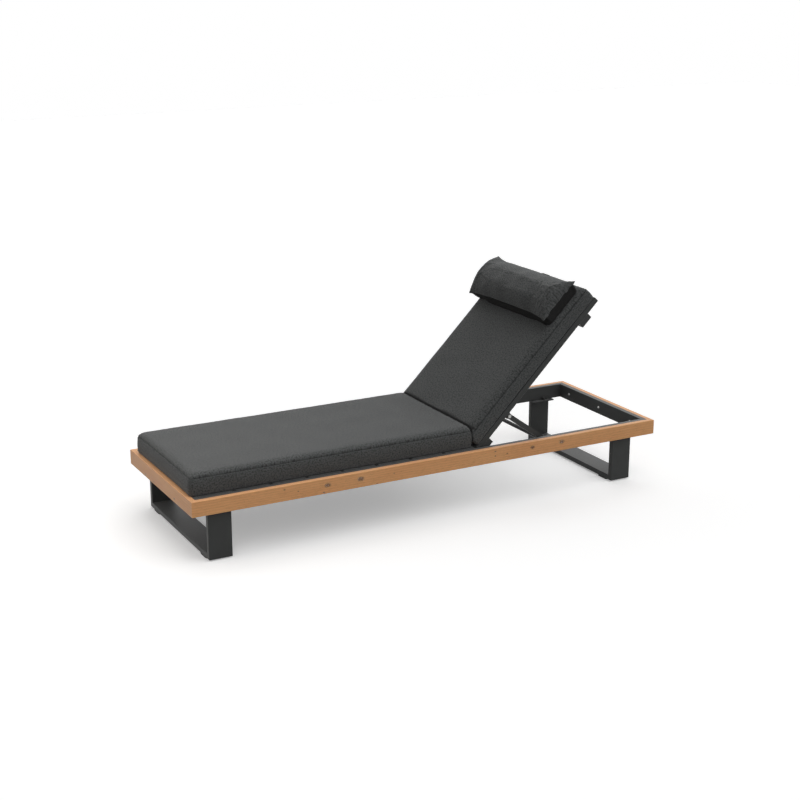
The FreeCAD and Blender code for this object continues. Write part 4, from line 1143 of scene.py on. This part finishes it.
class LOUNGER_OT_stage(bpy.types.Operator):
    """Make the pale floor, the soft light and the camera."""

    bl_idname = "lounger.stage"
    bl_label = "Stage"

    def execute(self, context):
        settings = context.scene.lounger_stage
        self.make_camera(context, settings)
        self.make_floor(settings)
        self.make_lamps(context, settings)
        self.make_world(context, settings)
        context.scene.view_settings.view_transform = "Standard"
        return {"FINISHED"}

    def make_camera(self, context, settings):
        """A camera off the near side at the foot end, which looks down a little."""
        data = bpy.data.cameras.new("camera")
        data.lens = settings.lens
        data.sensor_width = 36.0
        camera = bpy.data.objects.new("camera", data)
        camera.location = settings.camera_place
        camera.rotation_euler = (math.pi / 2 - settings.camera_pitch, 0, -settings.camera_yaw)
        context.scene.collection.objects.link(camera)
        context.scene.camera = camera

    def make_floor(self, settings):
        """A flat floor that keeps the shadow, lifted towards white for the camera and reflections."""
        material, tree, shader = new_material("pale floor")
        seen = self.seen_directly(tree)
        shade = mix_colour(tree, seen, (settings.floor_bounce,) * 3, (settings.floor_shade,) * 3)
        set_inputs(
            tree, shader, Base_Color=shade, Roughness=1.0, Specular_IOR_Level=0.0,
            Emission_Color=(1, 1, 1, 1),
            Emission_Strength=math_node(tree, "MULTIPLY", seen, settings.floor_lift))
        corners = np.array([[-1, -1, 0], [1, -1, 0], [1, 1, 0], [-1, 1, 0]]) * FLOOR_HALF
        floor = make_piece("floor", corners, np.array([[0, 1, 2, 3]]), material)

    def make_lamps(self, context, settings):
        """Three soft distant lights, and at the foot end a square lamp and a soft spot over it, both
        slightly warm."""
        for name, power, origin in (
            ("key", settings.key_power, KEY_FROM),
            ("far fill", settings.far_power, FAR_FROM),
            ("near fill", settings.near_power, NEAR_FROM),
        ):
            lamp = self.add_lamp(context, name, "SUN", power, -origin)
            lamp.data.angle = settings.key_spread
        lamp = self.add_lamp(context, "foot lamp", "AREA", settings.foot_power, FOOT_AIM - FOOT_LAMP)
        lamp.location = FOOT_LAMP
        lamp.data.color = FOOT_TINT
        lamp.data.size = 1.2
        lamp = self.add_lamp(context, "foot spot", "SPOT", settings.spot_power, FOOT_AIM - FOOT_SPOT)
        lamp.location = FOOT_SPOT
        lamp.data.color = FOOT_TINT
        lamp.data.spot_size = FOOT_SPOT_CONE
        lamp.data.spot_blend = 1.0
        lamp.data.shadow_soft_size = 0.6

    def add_lamp(self, context, name, kind, power, way):
        """A lamp that shines along a way."""
        data = bpy.data.lights.new(name, kind)
        data.energy = power
        lamp = bpy.data.objects.new(name, data)
        level = math.hypot(way[0], way[1])
        lamp.rotation_euler = (math.atan2(level, -way[2]), 0, math.atan2(-way[0], way[1]))
        context.scene.collection.objects.link(lamp)
        return lamp

    def seen_directly(self, tree):
        """1 for what the camera sees itself, in a reflection or through glass, and 0 for other light."""
        path = tree.nodes.new("ShaderNodeLightPath")
        seen = math_node(tree, "MAXIMUM", path.outputs["Is Camera Ray"], path.outputs["Is Glossy Ray"])
        return math_node(tree, "MAXIMUM", seen, path.outputs["Is Transmission Ray"])

    def make_world(self, context, settings):
        """Even sky light, and plain white where the camera or a reflection looks past the floor."""
        world = bpy.data.worlds.new("world")
        world.use_nodes = True
        tree = world.node_tree
        tree.nodes.clear()
        seen = self.seen_directly(tree)
        strength = math_node(tree, "MULTIPLY_ADD", seen, 1.0 - settings.sky, settings.sky)
        sky = add_node(tree, "ShaderNodeBackground", Color=(1, 1, 1, 1), Strength=strength)
        add_node(tree, "ShaderNodeOutputWorld", Surface=sky.outputs[0])
        context.scene.world = world


OPERATORS = (
    LOUNGER_OT_timber_rails,
    LOUNGER_OT_metal_frame,
    LOUNGER_OT_fittings,
    LOUNGER_OT_seat_cushion,
    LOUNGER_OT_back_cushion,
    LOUNGER_OT_head_pillow,
    LOUNGER_OT_pillow_strap,
    LOUNGER_OT_stage,
)


class LOUNGER_PT_panel(bpy.types.Panel):
    """The lounger's settings and the pieces that can be made."""

    bl_idname = "LOUNGER_PT_panel"
    bl_label = "Relaxation lounger"
    bl_space_type = "VIEW_3D"
    bl_region_type = "UI"
    bl_category = "Lounger"

    def draw(self, context):
        layout = self.layout
        for name in ("lounger_cushions", "lounger_finishes", "lounger_stage"):
            settings = getattr(context.scene, name)
            box = layout.box()
            for prop in settings.__annotations__:
                box.prop(settings, prop)
        for operator in OPERATORS:
            layout.operator(operator.bl_idname)


GROUPS = (
    ("lounger_cushions", LoungerCushionSettings),
    ("lounger_finishes", LoungerFinishSettings),
    ("lounger_stage", LoungerStageSettings),
)


def register():
    """Register the settings, the operators and the panel."""
    for name, group in GROUPS:
        bpy.utils.register_class(group)
        setattr(bpy.types.Scene, name, PointerProperty(type=group))
    for kind in (*OPERATORS, LOUNGER_PT_panel):
        bpy.utils.register_class(kind)


def unregister():
    """Take the panel, the operators and the settings away again."""
    for kind in (LOUNGER_PT_panel, *reversed(OPERATORS)):
        bpy.utils.unregister_class(kind)
    for name, group in reversed(GROUPS):
        delattr(bpy.types.Scene, name)
        bpy.utils.unregister_class(group)


def main():
    """Make every piece in order."""
    register()
    for operator in OPERATORS:
        family, name = operator.bl_idname.split(".")
        getattr(getattr(bpy.ops, family), name)()


if __name__ == "__main__":
    main()
